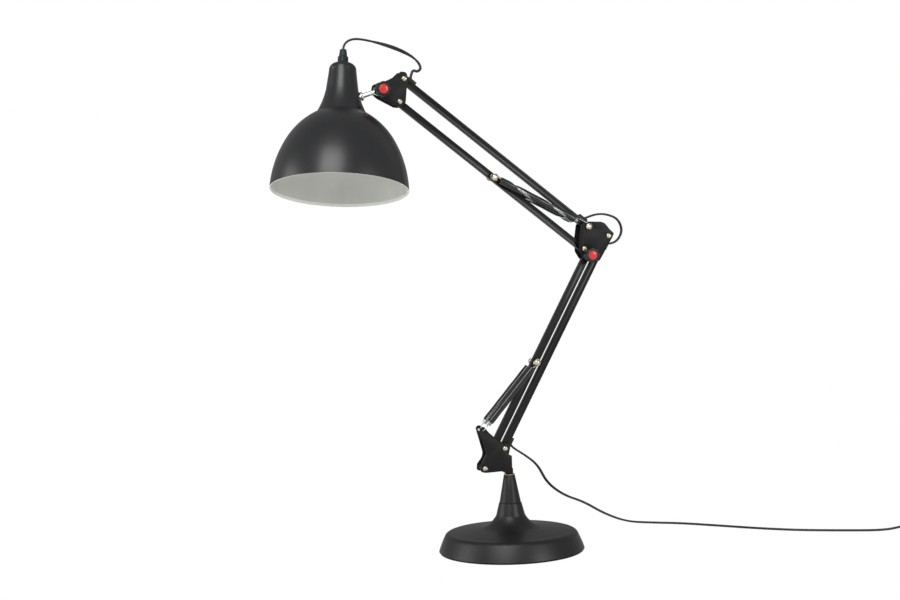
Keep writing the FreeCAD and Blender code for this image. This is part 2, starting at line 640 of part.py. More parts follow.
def knob(center):
    """Fluted clamping knob with its collar; built along +Z and turned to face the front."""
    body = Part.makeCylinder(KNOB_RADIUS, KNOB_LENGTH, V(0, 0, KNOB_COLLAR_LENGTH))
    top = KNOB_COLLAR_LENGTH + KNOB_LENGTH
    for k in range(KNOB_LOBES):
        turn = 2 * math.pi * (k + 0.5) / KNOB_LOBES
        spot = V(KNOB_FLUTE_OFFSET * math.cos(turn), KNOB_FLUTE_OFFSET * math.sin(turn), 0)
        body = body.cut(Part.makeCylinder(KNOB_FLUTE_RADIUS, top * 2, spot))
    rims = [e for e in body.Edges if e.BoundBox.ZMin > top - 0.01 and e.BoundBox.ZMax < top + 0.01]
    body = body.makeChamfer(0.8, rims)
    collar = Part.makeCylinder(KNOB_COLLAR_RADIUS, KNOB_COLLAR_LENGTH + 0.5)
    body = body.fuse(collar).removeSplitter()
    bore = KNOB_BOLT_RADIUS + KNOB_BOLT_CLEARANCE
    body = body.cut(Part.makeCylinder(bore, KNOB_BOLT_DEPTH + KNOB_BOLT_END_GAP + 1, V(0, 0, -1)))
    body = body.cut(Part.makeCylinder(KNOB_CAP_RADIUS + 0.05, KNOB_CAP_DEPTH + 1, V(0, 0, top - KNOB_CAP_DEPTH)))
    return aim(body, V(center[0], -knob_seat(), center[1]), V(0, -1, 0))


def knob_seat():
    """|y| of the knob's inner face."""
    return PLATE_OUTER + KNOB_WASHER_THICKNESS + RUNNING_GAP


def knob_cap(center):
    """Red cap pressed into the end of a knob."""
    low = KNOB_COLLAR_LENGTH + KNOB_LENGTH - KNOB_CAP_DEPTH
    depth = KNOB_CAP_DEPTH + KNOB_CAP_RISE
    return aim(dome(KNOB_CAP_RADIUS, depth - KNOB_CAP_CROWN, depth), V(center[0], -knob_seat() - low, center[1]), V(0, -1, 0))


# ---------------------------------------------------------------- head
def head_corners():
    """Outline of the head side plates."""
    corners = around(HEAD_KNOB_PIVOT, [(-10.0, -3.5, 6.0), (-7.4, 8.6, 5.0), (4.7, 10.6, 8.0)])
    corners += around(HEAD_MAIN_PIVOT, [(-11.1, 3.2, 8.0), (-4.3, 9.6, 3.0), (3.4, 8.4, 4.0), (6.2, -1.4, 4.5),
                                        (3.4, -11.0, 10.0)])
    corners += around(HEAD_LINK_PIVOT, [(8.2, -1.0, 4.5), (2.6, -7.2, 3.5), (-4.4, -6.4, 3.0)])
    corners += around(HEAD_KNOB_PIVOT, [(-1.5, -10.8, 6.0)])
    return corners


def head_plate(side):
    """Head side plate between the upper tubes and the tilt knob."""
    hole = PIVOT_RADIUS + BOLT_HOLE_CLEARANCE
    holes = [(HEAD_MAIN_PIVOT, hole), (HEAD_LINK_PIVOT, hole),
             (HEAD_KNOB_PIVOT, KNOB_BOLT_RADIUS + BOLT_HOLE_CLEARANCE)]
    return plate(head_corners(), side, holes)


def friction_washers():
    """Discs between the rod's eye and the side plates."""
    low = ROD_EYE_HALF + RUNNING_GAP
    hole = KNOB_BOLT_RADIUS + 0.05
    front = ring_along_y(HEAD_KNOB_PIVOT, ROD_EYE_RADIUS, hole, -PLATE_INNER, -low)
    back = ring_along_y(HEAD_KNOB_PIVOT, ROD_EYE_RADIUS, hole, low, PLATE_INNER)
    return [front, back]


def rod_direction():
    """Unit vector from the tilt pivot towards the shade."""
    turn = math.radians(180.0 + ROD_ANGLE)
    return V(math.cos(turn), 0, math.sin(turn))


def rod_point(distance):
    """Point on the rod's centre line at a distance from the tilt pivot."""
    return V(HEAD_KNOB_PIVOT[0], 0, HEAD_KNOB_PIVOT[1]) + rod_direction() * distance


def shade_frame():
    """Placement that carries a shape about +Z at the rod crossing into the shade's pose."""
    upright = 180.0 + ROD_ANGLE - SHADE_AXIS_ANGLE
    lean = FreeCAD.Rotation(Y_AXIS, 90.0 - upright)
    swing = FreeCAD.Rotation(rod_direction(), SHADE_SWIVEL)
    return FreeCAD.Placement(rod_point(NECK_DISTANCE), swing.multiply(lean))


def in_shade(shape):
    """Moves a shape from the shade's own frame to the lamp's."""
    return place(shape, shade_frame())


def shade_wall_distance():
    """Distance along the rod from the tilt pivot to the outside of the shade's neck."""
    return NECK_DISTANCE - ROD_WALL_CROSSING / math.sin(math.radians(SHADE_AXIS_ANGLE))


def tilt_rod():
    """Chrome rod with the clamped eye at the tilt pivot."""
    end = shade_wall_distance() + ROD_STUB
    shaft = Part.makeCylinder(ROD_RADIUS, end, rod_point(0), rod_direction())
    eye = rod_along_y(HEAD_KNOB_PIVOT, ROD_EYE_RADIUS, -ROD_EYE_HALF, ROD_EYE_HALF)
    rod = shaft.fuse(eye).removeSplitter()
    return rod.cut(rod_along_y(HEAD_KNOB_PIVOT, KNOB_BOLT_RADIUS + PIVOT_CLEARANCE, -PLATE_OUTER, PLATE_OUTER))


def rod_nuts():
    """Flanged nut outside the neck and a thin nut inside it."""
    wall = shade_wall_distance()
    outer = Part.makeCylinder(ROD_NUT_RADIUS, ROD_NUT_THICKNESS,
                              rod_point(wall - ROD_NUT_THICKNESS - 0.9), rod_direction())
    inner = Part.makeCylinder(ROD_NUT_RADIUS * 0.85, ROD_NUT_THICKNESS * 0.8,
                              rod_point(wall + SHADE_WALL + 1.4), rod_direction())
    hole = Part.makeCylinder(ROD_RADIUS + 0.02, 60.0, rod_point(0), rod_direction())
    return [outer.cut(hole), inner.cut(hole)]


def shade_outline(shift):
    """Outer line of the spun shade, moved inwards and down by shift for its inside."""
    rim = (SHADE_RADIUS - shift, -SHADE_RIM_DROP - shift)
    bell = (SHADE_RADIUS - SHADE_BELL[0] - shift, -SHADE_RIM_DROP + SHADE_BELL[1] - shift)
    waist = (SHADE_RADIUS - SHADE_WAIST[0] - shift, -SHADE_RIM_DROP + SHADE_WAIST[1] - shift)
    shoulder = (SHADE_CREASE_RADIUS + SHADE_SHOULDER[0] - shift, -SHADE_CREASE_DROP - SHADE_SHOULDER[1] - shift)
    crease = (SHADE_CREASE_RADIUS - shift, -SHADE_CREASE_DROP - shift)
    flare = (27.2 - shift, -1.0 - shift)
    neck = (21.6 - shift, 18.6 - shift)
    collar = (SHADE_NECK_RADIUS - shift, 44.5 - shift)
    corner = (SHADE_NECK_RADIUS - 2.1 - shift, 51.5 - shift)
    crown = (SHADE_NECK_RADIUS - 7.6 - shift, SHADE_TOP_RISE - shift)
    edges = [arc(rim, bell, waist), arc(waist, shoulder, crease), arc(crease, flare, neck)]
    edges += [line(neck, collar), arc(collar, corner, crown)]
    return edges, rim, crown


def shade_shell():
    """Spun metal shade with its neck, in the shade's own frame."""
    solids = []
    for shift in (0.0, SHADE_WALL):
        edges, rim, crown = shade_outline(shift)
        low = (0.0, rim[1])
        high = (0.0, crown[1])
        solids.append(lathe(edges + [line(crown, high), line(high, low), line(low, rim)]))
    shell = solids[0].cut(solids[1])
    shell = shell.cut(Part.makeCylinder(GLAND_RADIUS * 0.6, SHADE_WALL * 6, V(0, 0, SHADE_TOP_RISE - SHADE_WALL * 3)))
    shell = in_shade(shell)
    start = shade_wall_distance() - 6.0
    return shell.cut(Part.makeCylinder(ROD_RADIUS + 0.1, 14.0, rod_point(start), rod_direction()))


def cord_gland():
    """Threaded gland collar and tapered relief on top of the shade."""
    top = SHADE_TOP_RISE + GLAND_HEIGHT
    tip = top + RELIEF_HEIGHT
    bore = CORD_RADIUS + CORD_BORE_CLEARANCE
    tail = SHADE_TOP_RISE - SHADE_WALL - 3.0
    stud = GLAND_RADIUS * 0.6 - 0.05
    outline = [(bore, tail), (stud, tail), (stud, SHADE_TOP_RISE), (GLAND_RADIUS, SHADE_TOP_RISE),
               (GLAND_RADIUS - 0.3, top - 0.6), (GLAND_RADIUS - 0.9, top), (RELIEF_RADIUS, top),
               (RELIEF_TOP_RADIUS, tip - 0.8), (RELIEF_TOP_RADIUS - 0.7, tip), (bore, tip)]
    return in_shade(polygon_lathe(outline))


def lampholder():
    """Moulded holder in the neck, open below for the bulb."""
    top = SHADE_TOP_RISE - SHADE_WALL - 3.2
    step = -HOLDER_STEP_DROP
    bottom = top - HOLDER_LENGTH
    outline = [(0.0, top), (HOLDER_TOP_RADIUS, top), (HOLDER_TOP_RADIUS, step + 3.0),
               (HOLDER_RADIUS, step - 2.0), (HOLDER_RADIUS, bottom), (HOLDER_BORE_RADIUS, bottom),
               (HOLDER_BORE_RADIUS, bottom + HOLDER_BORE_DEPTH), (0.0, bottom + HOLDER_BORE_DEPTH)]
    return in_shade(polygon_lathe(outline))


def holder_mouth():
    """Height of the lampholder's lower edge in the shade's frame."""
    return SHADE_TOP_RISE - SHADE_WALL - 3.2 - HOLDER_LENGTH


def bulb_cap():
    """Screw cap of the bulb."""
    top = holder_mouth() + HOLDER_BORE_DEPTH - 0.2
    bottom = holder_mouth() - 1.0
    contact = (0.0, top)
    outline = [contact, (4.5, top), (6.0, top - 3.0), (BULB_CAP_RADIUS, top - 6.0), (BULB_CAP_RADIUS, bottom),
               (0.0, bottom)]
    return in_shade(polygon_lathe(outline))


def bulb_glass():
    """Small round opal bulb."""
    top = holder_mouth() - 1.0
    middle = top - BULB_LENGTH + BULB_RADIUS
    half = math.radians(52.0)
    side = (BULB_RADIUS * math.cos(half), middle + BULB_RADIUS * math.sin(half))
    lowest = (0.0, middle - BULB_RADIUS)
    belly = (BULB_RADIUS * math.cos(-0.3), middle + BULB_RADIUS * math.sin(-0.3))
    neck = (BULB_NECK_RADIUS, top)
    outline = [line((0.0, top), neck), line(neck, side), arc(side, belly, lowest), line(lowest, (0.0, top))]
    return in_shade(lathe(outline))


# ---------------------------------------------------------------- wire forms
def arc_edge(start, tangent, end):
    """Arc from start, leaving along tangent, to end; a line where they are in line."""
    chord = end - start
    span = chord.Length
    lean = tangent.dot(chord) / span
    if lean > 0.9999999:
        return Part.LineSegment(start, end).toShape()
    corner = start + tangent * (span / (2 * lean))
    middle = (start + end + corner * (2 * lean)) * (1 / (2 * (1 + lean)))
    return Part.Arc(start, middle, end).toShape()


def biarc(start, start_tangent, end, end_tangent):
    """Two arcs that join two points and directions smoothly."""
    gap = end - start
    total = start_tangent + end_tangent
    spread = 2 * (1 - start_tangent.dot(end_tangent))
    along = gap.dot(total)
    if spread < 1e-9:
        reach = gap.dot(gap) / (2 * along)
    else:
        reach = (-along + math.sqrt(along * along + spread * gap.dot(gap))) / spread
    if gap.cross(start_tangent).Length < 1e-7 and gap.cross(end_tangent).Length < 1e-7:
        return [Part.LineSegment(start, end).toShape()]
    middle = (start + end + (start_tangent - end_tangent) * reach) * 0.5
    turn = (end - end_tangent * reach) - (start + start_tangent * reach)
    return [arc_edge(start, start_tangent, middle), arc_edge(middle, turn.normalize(), end)]


def biarc_path(nodes):
    """Wire of biarcs through (point, direction) pairs."""
    edges = []
    for (start, leave), (end, arrive) in zip(nodes, nodes[1:]):
        edges += biarc(start, leave, end, arrive)
    return edges


def wire_solid(edges, radius, start, direction):
    """Round wire swept along a path."""
    profile = Part.Wire(Part.Circle(start, direction, radius).toShape())
    return Part.Wire(edges).makePipeShell([profile], True, False)


def path_points(edges, step):
    """Points along a path, about a step apart."""
    points = []
    for edge in edges:
        count = max(2, int(edge.Length / step) + 1)
        points += edge.discretize(count)[:-1]
    return points


def least_gap(edges, radius, skip, step):
    """Least distance between stretches of a wire that are more than skip apart along it."""
    points = path_points(edges, step)
    lengths = [0.0]
    for a, b in zip(points, points[1:]):
        lengths.append(lengths[-1] + (b - a).Length)
    least = 1e9
    for i in range(len(points)):
        for j in range(i + 1, len(points)):
            if lengths[j] - lengths[i] > skip:
                least = min(least, (points[j] - points[i]).Length)
    return least - 2 * radius


# ---------------------------------------------------------------- springs
def helix_nodes(start, pitch, first, turns, radius):
    """Quarter-turn nodes of a coil about +X; first is the starting angle in degrees."""
    nodes = []
    quarters = int(round(turns * 4))
    rise = pitch / (2 * math.pi)
    for k in range(quarters + 1):
        turn = math.radians(first) + k * math.pi / 2
        point = V(start + pitch * k / 4, radius * math.sin(turn), radius * math.cos(turn))
        tangent = V(rise, radius * math.cos(turn), -radius * math.sin(turn)).normalize()
        nodes.append((point, tangent))
    return nodes


def tip_eye(length):
    """Nodes of the long eye round the cross pin at the far end."""
    right = V(1, 0, 0)
    left = V(-1, 0, 0)
    up = V(0, 0, 1)
    near = length - EYE_SLACK
    far = length + EYE_SLACK
    closing = math.radians(150.0)
    last = V(near + EYE_RADIUS * math.cos(closing), 0, EYE_RADIUS * math.sin(closing))
    return [(V(near, 0, -EYE_RADIUS), right), (V(far, 0, -EYE_RADIUS), right), (V(far + EYE_RADIUS, 0, 0), up),
            (V(far, 0, EYE_RADIUS), left), (V(near, 0, EYE_RADIUS), left),
            (last, V(-math.sin(closing), 0, math.cos(closing)))]


def horn_hook():
    """Nodes of the open hook through the horn's hole; +Y is the outer side."""
    right = V(1, 0, 0)
    left = V(-1, 0, 0)
    straight = LOWER_COIL_START - 3.5
    return [(V(HOOK_RADIUS + 3.0, -HOOK_RADIUS, 0), left), (V(HOOK_RADIUS, -HOOK_RADIUS, 0), left),
            (V(0, 0, 0), V(0, 1, 0)), (V(HOOK_RADIUS, HOOK_RADIUS, 0), right), (V(straight, HOOK_RADIUS, 0), right)]


def anchor_eye():
    """Nodes of the round eye outside the elbow plate."""
    lift = PLATE_OUTER + ANCHOR_GAP / 2 - SPRING_SIDE
    nodes = []
    for angle in (30.0, 120.0, 210.0, 270.0):
        turn = math.radians(angle)
        point = V(ANCHOR_EYE_RADIUS * math.cos(turn), lift, ANCHOR_EYE_RADIUS * math.sin(turn))
        nodes.append((point, V(-math.sin(turn), 0, math.cos(turn))))
    nodes.append((V(UPPER_COIL_START - 4.0, lift, -ANCHOR_EYE_RADIUS), V(1, 0, 0)))
    return nodes


def spring(lead, coil_start, first, length, anchor, angle):
    """Back spring of one arm, as one unbroken wire from its anchor to its eye."""
    coil_end = length - COIL_END_GAP
    turns = SPRING_CURLS - ((first - 90.0) % 360.0) / 360.0
    quarter_turns = math.floor(turns * 4)
    turns = quarter_turns / 4
    pitch = (coil_end - coil_start) / turns
    coil = helix_nodes(coil_start, pitch, first, turns, SPRING_COIL_RADIUS)
    nodes = lead + coil + tip_eye(length)
    edges = biarc_path(nodes)
    solid = wire_solid(edges, SPRING_WIRE_RADIUS, nodes[0][0], nodes[0][1])
    gap = least_gap(edges, SPRING_WIRE_RADIUS, 4 * SPRING_WIRE_RADIUS + 2.0, 0.9)
    print("spring length %.1f pitch %.2f turns %.2f least gap %.2f volume ratio %.4f" % (
        length, pitch, turns, gap,
        solid.Volume / (math.pi * SPRING_WIRE_RADIUS ** 2 * sum(e.Length for e in edges))))
    solid.translate(V(0, SPRING_SIDE, 0))
    return settle(solid, anchor, angle)


def both_sides(shape):
    """A back piece and its mirror image at the front."""
    return [shape, shape.mirror(V(0, 0, 0), Y_AXIS)]


def spring_line(anchor, pin):
    """Length and angle of a spring between its anchor and its pin."""
    dx = pin[0] - anchor[0]
    dz = pin[1] - anchor[1]
    return math.hypot(dx, dz), math.degrees(math.atan2(dz, dx))


def spring_sleeve(start, length, anchor, angle):
    """Slit plastic sleeve over a back spring."""
    span = length - SLEEVE_END_GAP - start
    base = V(start, SPRING_SIDE, 0)
    sleeve = Part.makeCylinder(SLEEVE_OUTER, span, base, V(1, 0, 0))
    sleeve = sleeve.cut(Part.makeCylinder(SLEEVE_INNER, span + 2, base - V(1, 0, 0), V(1, 0, 0)))
    slit = Part.makeBox(span + 2, SLEEVE_OUTER * 2, SLEEVE_SLIT, V(start - 1, SPRING_SIDE, -SLEEVE_SLIT / 2))
    return settle(sleeve.cut(slit), anchor, angle)


# ---------------------------------------------------------------- cord
def cord_path(points, label):
    """Straight runs joined by tangent arcs that are as large as the runs allow."""
    edges = []
    radii = []
    start = points[0]
    for last, here, after in zip(points, points[1:], points[2:]):
        come = (here - last)
        leave = (after - here)
        shorter = min(come.Length, leave.Length)
        come.normalize()
        leave.normalize()
        half = come.getAngle(leave) / 2
        reach = BEND_SHARE * shorter
        radius = reach / math.tan(half)
        inward = (leave - come).normalize()
        middle = here + inward * (radius / math.cos(half) - radius)
        edges.append(Part.LineSegment(start, here - come * reach).toShape())
        edges.append(Part.Arc(here - come * reach, middle, here + leave * reach).toShape())
        radii.append(radius)
        start = here + leave * reach
    edges.append(Part.LineSegment(start, points[-1]).toShape())
    length = sum(edge.Length for edge in edges)
    print(label, "length %.1f" % length, "radii", [round(r, 1) for r in radii])
    return edges


def cord_solid(edges, start, direction, label):
    """Round cord along a path, with its volume compared with section times length."""
    solid = wire_solid(edges, CORD_RADIUS, start, direction)
    length = sum(edge.Length for edge in edges)
    print(label, "volume ratio %.4f" % (solid.Volume / (math.pi * CORD_RADIUS ** 2 * length)))
    return solid


def relief_tip():
    """Top centre of the cord relief, and its direction, in the lamp's frame."""
    frame = shade_frame()
    tip = SHADE_TOP_RISE + GLAND_HEIGHT + RELIEF_HEIGHT
    return frame.multVec(V(0, 0, tip)), frame.Rotation.multVec(Z_AXIS)


def route_points(route, pivot):
    """Points of a loose loop, given as offsets from a pivot."""
    return [V(pivot[0] + dx, y, pivot[1] + dz) for dx, y, dz in route]


def head_cord():
    """Loose loop from the shade's gland to the upper tube."""
    start, direction = relief_tip()
    end, outward = entry_point(UPPER_MAIN_PIVOT, UPPER_ANGLE, -1, True)
    points = [start, start + direction * CORD_EXIT_RUN]
    points += route_points(HEAD_CORD_ROUTE, HEAD_MAIN_PIVOT)
    points += [end + outward * CORD_EXIT_RUN, end]
    return cord_solid(cord_path(points, "head cord"), start, direction, "head cord")


def elbow_cord():
    """Loose loop from the upper tube to the lower tube."""
    start, direction = entry_point(UPPER_MAIN_PIVOT, UPPER_ANGLE, -1, False)
    end, outward = entry_point(LOWER_MAIN_PIVOT, LOWER_ANGLE, -1, True)
    points = [start, start + direction * CORD_LONG_EXIT_RUN]
    points += route_points(ELBOW_CORD_ROUTE, ELBOW_MAIN_PIVOT)
    points += [end + outward * CORD_LONG_EXIT_RUN, end]
    return cord_solid(cord_path(points, "elbow cord"), start, direction, "elbow cord")


def tube_cord(start, angle, outward, label):
    """Stretch of cord that runs inside a square tube."""
    first, leave = entry_point(start, angle, outward, False)
    last, arrive = entry_point(start, angle, outward, True)
    drop = (HALF_TUBE + ENTRY_HEIGHT - 1.2) / math.sin(math.radians(ENTRY_SLOPE))
    points = [first, first - leave * drop, last - arrive * drop, last]
    edges = cord_path(points, label)
    return cord_solid(edges, first, -leave, label)


def switch_direction():
    """Horizontal direction of the cord through the switch."""
    turn = math.radians(SWITCH_ANGLE)
    return V(math.cos(turn), math.sin(turn), 0)


def free_cord():
    """Supply cord from the lower tube to the floor and on to the switch."""
    start, direction = entry_point(LOWER_MAIN_PIVOT, LOWER_ANGLE, -1, False)
    end = V(SWITCH_START[0], SWITCH_START[1], SWITCH_HEIGHT / 2)
    points = [start, start + direction * CORD_EXIT_RUN] + [V(*p) for p in FREE_CORD_ROUTE]
    points += [end - switch_direction() * 12.0, end]
    return cord_solid(cord_path(points, "free cord"), start, direction, "free cord")


def coil_layout():
    """Centre of the coil and the point where the cord first meets it."""
    direction = switch_direction()
    end = V(SWITCH_START[0], SWITCH_START[1], 0) + direction * SWITCH_LENGTH
    entry = end + direction * COIL_APPROACH
    turn = math.radians(COIL_START_ANGLE)
    center = V(entry.x - COIL_OUTER_RADIUS * math.cos(turn), entry.y - COIL_OUTER_RADIUS * math.sin(turn), 0)
    return center, entry


def coil_nodes():
    """Nodes of the cord from the switch, round the coil and out to the plug."""
    center, entry = coil_layout()
    direction = switch_direction()
    end = V(SWITCH_START[0], SWITCH_START[1], SWITCH_HEIGHT / 2) + direction * SWITCH_LENGTH
    flat = entry - direction * COIL_FLAT_RUN + V(0, 0, FLOOR_CORD_HEIGHT)
    nodes = [(end, direction), (end + direction * 5.0, direction), (flat, direction)]
    total = COIL_LAYER_TURNS * 2 + COIL_CLIMB_TURNS
    steps = int(round(total * 4))
    step = total / steps
    for k in range(steps + 1):
        done = k * step
        nodes.append(coil_node(center, done, total))
    tail, tangent = nodes[-1]
    nodes.append((tail + tangent * PLUG_TAIL, tangent))
    return nodes


def coil_place(center, done, total):
    """Point of the coil after a number of turns."""
    inward = min(done, COIL_LAYER_TURNS)
    outward = max(0.0, done - COIL_LAYER_TURNS - COIL_CLIMB_TURNS)
    radius = COIL_OUTER_RADIUS - COIL_PITCH * (inward - outward)
    climb = min(1.0, max(0.0, (done - COIL_LAYER_TURNS) / COIL_CLIMB_TURNS))
    height = FLOOR_CORD_HEIGHT + COIL_LAYER_HEIGHT * climb
    turn = math.radians(COIL_START_ANGLE) + 2 * math.pi * done
    return V(center.x + radius * math.cos(turn), center.y + radius * math.sin(turn), height)


def coil_node(center, done, total):
    """Point and direction of the coil after a number of turns."""
    little = 0.0005
    before = coil_place(center, max(0.0, done - little), total)
    after = coil_place(center, min(total, done + little), total)
    tangent = (after - before).normalize()
    if done == 0.0 or done == total:
        tangent = V(tangent.x, tangent.y, 0).normalize()
    return coil_place(center, done, total), tangent


def cord_coil():
    """Put-away length of the supply cord, wound in two layers."""
    nodes = coil_nodes()
    edges = biarc_path(nodes)
    length = sum(edge.Length for edge in edges)
    gap = least_gap(edges, CORD_RADIUS, 30.0, 2.0)
    print("coil length %.1f least gap %.2f tail" % (length, gap), nodes[-1][0], nodes[-1][1])
    return cord_solid(edges, nodes[0][0], nodes[0][1], "coil")


def switch_place(shape):
    """Moves a shape built along +X from the origin to the switch's place."""
    corner = V(SWITCH_START[0], SWITCH_START[1], 0)
    return place(shape, FreeCAD.Placement(corner, FreeCAD.Rotation(Z_AXIS, SWITCH_ANGLE)))


def switch_body():
    """Inline switch housing with a pocket for the rocker."""
    half = SWITCH_WIDTH / 2
    nose = SWITCH_NOSE_WIDTH / 2
    length = SWITCH_LENGTH
    corners = [(0, -nose), (SWITCH_NOSE, -half), (length - SWITCH_NOSE, -half), (length, -nose), (length, nose),
               (length - SWITCH_NOSE, half), (SWITCH_NOSE, half), (0, nose), (0, -nose)]
    face = Part.Face(Part.makePolygon([V(x, y, 0) for x, y in corners]))
    body = face.extrude(V(0, 0, SWITCH_HEIGHT))
    rims = [e for e in body.Edges if abs(e.BoundBox.ZMax - e.BoundBox.ZMin) < 0.01]
    body = body.makeFillet(1.8, rims)
    middle = length / 2
    pocket = Part.makeBox(ROCKER_LENGTH + 2 * ROCKER_GAP, ROCKER_WIDTH + 2 * ROCKER_GAP, ROCKER_DEPTH,
                          V(middle - ROCKER_LENGTH / 2 - ROCKER_GAP, -ROCKER_WIDTH / 2 - ROCKER_GAP,
                            SWITCH_HEIGHT - ROCKER_DEPTH))
    body = body.cut(pocket)
    reach = ROCKER_WIDTH / 2 + ROCKER_GAP + TRUNNION_REACH
    bearing = rod_along_y((middle, SWITCH_HEIGHT - ROCKER_PIVOT_DEPTH), TRUNNION_RADIUS + TRUNNION_CLEARANCE,
                          -reach - RUNNING_GAP, reach + RUNNING_GAP)
    return switch_place(body.cut(bearing))


def switch_rocker():
    """Rocker of the inline switch, pressed down at its first end."""
    pivot = V(SWITCH_LENGTH / 2, 0, SWITCH_HEIGHT - ROCKER_PIVOT_DEPTH)
    reach = ROCKER_LENGTH / 2
    half = ROCKER_WIDTH / 2
    top = ROCKER_RISE + ROCKER_PIVOT_DEPTH
    points = [V(-reach + 0.6, -half, -1.6), V(0, -half, -3.6), V(reach - 0.6, -half, -1.6),
              V(reach - 0.6, -half, top - 0.9), V(0, -half, top - 2.2), V(-reach + 0.6, -half, top - 0.9)]
    face = Part.Face(Part.makePolygon(points + points[:1]))
    rocker = face.extrude(V(0, ROCKER_WIDTH, 0))
    reach = ROCKER_WIDTH / 2 + ROCKER_GAP + TRUNNION_REACH
    rocker = rocker.fuse(rod_along_y((0.0, 0.0), TRUNNION_RADIUS, -reach, reach)).removeSplitter()
    rocker.rotate(V(0, 0, 0), Y_AXIS, -7.0)
    rocker.translate(pivot)
    return switch_place(rocker)


def plug_start():
    """Where the cord enters the plug."""
    return coil_nodes()[-1][0]


def plug_body():
    """Flat two-pin plug lying on the floor, pins towards +X."""
    start = plug_start()
    half = PLUG_WIDTH / 2
    nose = PLUG_NOSE_WIDTH / 2
    corners = [(0, -nose), (12.0, -nose - 2.0), (PLUG_LENGTH - 9.0, -half), (PLUG_LENGTH, -half), (PLUG_LENGTH, half),
               (PLUG_LENGTH - 9.0, half), (12.0, nose + 2.0), (0, nose), (0, -nose)]
    face = Part.Face(Part.makePolygon([V(x, y, 0) for x, y in corners]))
    body = face.extrude(V(0, 0, 2 * start.z))
    rims = [e for e in body.Edges if abs(e.BoundBox.ZMax - e.BoundBox.ZMin) < 0.01 and e.BoundBox.XMin < PLUG_LENGTH - 1]
    body = body.makeFillet(2.0, rims)
    body.translate(V(start.x, start.y, 0))
    return body


def plug_pins():
    """Two round pins."""
    start = plug_start()
    face = start.x + PLUG_LENGTH
    pins = []
    for side in (FRONT, BACK):
        base = V(face, start.y + side * PLUG_PIN_SPACING / 2, start.z)
        pin = Part.makeCylinder(PLUG_PIN_RADIUS, PLUG_PIN_LENGTH, base, V(1, 0, 0))
        pins.append(pin.makeChamfer(0.5, [e for e in pin.Edges if e.BoundBox.XMin > face + PLUG_PIN_LENGTH - 0.01]))
    return pins


# ---------------------------------------------------------------- assembly
def build_base():
    """Everything that stands still."""
    save("base_cover", base_cover())
    save("base_weight", base_weight())
    save("base_pad", base_pad())
    save("stem_post", stem_post())
    save("stem_nuts", stem_nuts())
    save("stem_sleeve", stem_sleeve())
    save("swivel_bush", swivel_bush())


def build_bracket():
    """The swivelling bracket."""
    save("bracket_plate_front", bracket_plate(FRONT))
    save("bracket_plate_back", bracket_plate(BACK))
    save("bracket_spindle", bracket_spindle())
    pivots = [LOWER_MAIN_PIVOT, LOWER_LINK_PIVOT]
    reach = PLATE_OUTER + HEX_HEIGHT
    save("bracket_screws", [screw(p, PLATE_OUTER, SMALL_HEAD_RADIUS, SMALL_HEAD_HEIGHT, reach) for p in pivots])
    save("bracket_nuts", [hex_nut_back(p, PLATE_OUTER) for p in pivots])
    save("bracket_spacers", [s for p in pivots for s in spacer_pair(p)])


def build_lower_arm():
    """Both lower tubes and their fittings."""
    running = PIVOT_RADIUS + PIVOT_CLEARANCE
    main = square_tube(LOWER_MAIN_PIVOT, LOWER_ANGLE, [(0.0, running), (ARM_LENGTH, running)])
    save("lower_cord_tube", cord_tube_holes(main, LOWER_MAIN_PIVOT, LOWER_ANGLE, -1))
    save("lower_cord_entries", cord_entries(LOWER_MAIN_PIVOT, LOWER_ANGLE, -1))
    save("lower_tube_cord", tube_cord(LOWER_MAIN_PIVOT, LOWER_ANGLE, -1, "lower tube cord"))
    opened = KNOB_BOLT_RADIUS + OPEN_PIVOT_CLEARANCE
    holes = [(0.0, running), (SPRING_PIN_DISTANCE, PIVOT_RADIUS + 0.02), (ARM_LENGTH, opened)]
    save("lower_link_tube", square_tube(LOWER_LINK_PIVOT, LOWER_ANGLE, holes))
    save("lower_spring_pin", spring_pin(LOWER_PIN))


def build_elbow():
    """Elbow plates, fasteners and knob."""
    save("elbow_plate_front", elbow_plate(FRONT))
    save("elbow_plate_back", elbow_plate(BACK))
    small = [ELBOW_MAIN_PIVOT, UPPER_LINK_PIVOT]
    reach = PLATE_OUTER + HEX_HEIGHT
    anchor_seat = PLATE_OUTER + ANCHOR_GAP
    save("elbow_screws", [screw(p, PLATE_OUTER, SMALL_HEAD_RADIUS, SMALL_HEAD_HEIGHT, reach) for p in small])
    save("elbow_anchor_screw", screw(UPPER_MAIN_PIVOT, anchor_seat, BIG_HEAD_RADIUS, BIG_HEAD_HEIGHT,
                                     anchor_seat + HEX_HEIGHT))
    nuts = [hex_nut_back(p, PLATE_OUTER) for p in small]
    save("elbow_nuts", nuts + [hex_nut_back(UPPER_MAIN_PIVOT, anchor_seat, BIG_HEAD_RADIUS * 2)])
    spacers = [s for p in small + [UPPER_MAIN_PIVOT] for s in spacer_pair(p)]
    save("elbow_spacers", spacers + spacer_pair(ELBOW_KNOB_PIVOT, KNOB_BOLT_RADIUS))
    save("elbow_knob_bolt", knob_bolt(ELBOW_KNOB_PIVOT))
    save("elbow_knob", knob(ELBOW_KNOB_PIVOT))
    save("elbow_knob_cap", knob_cap(ELBOW_KNOB_PIVOT))


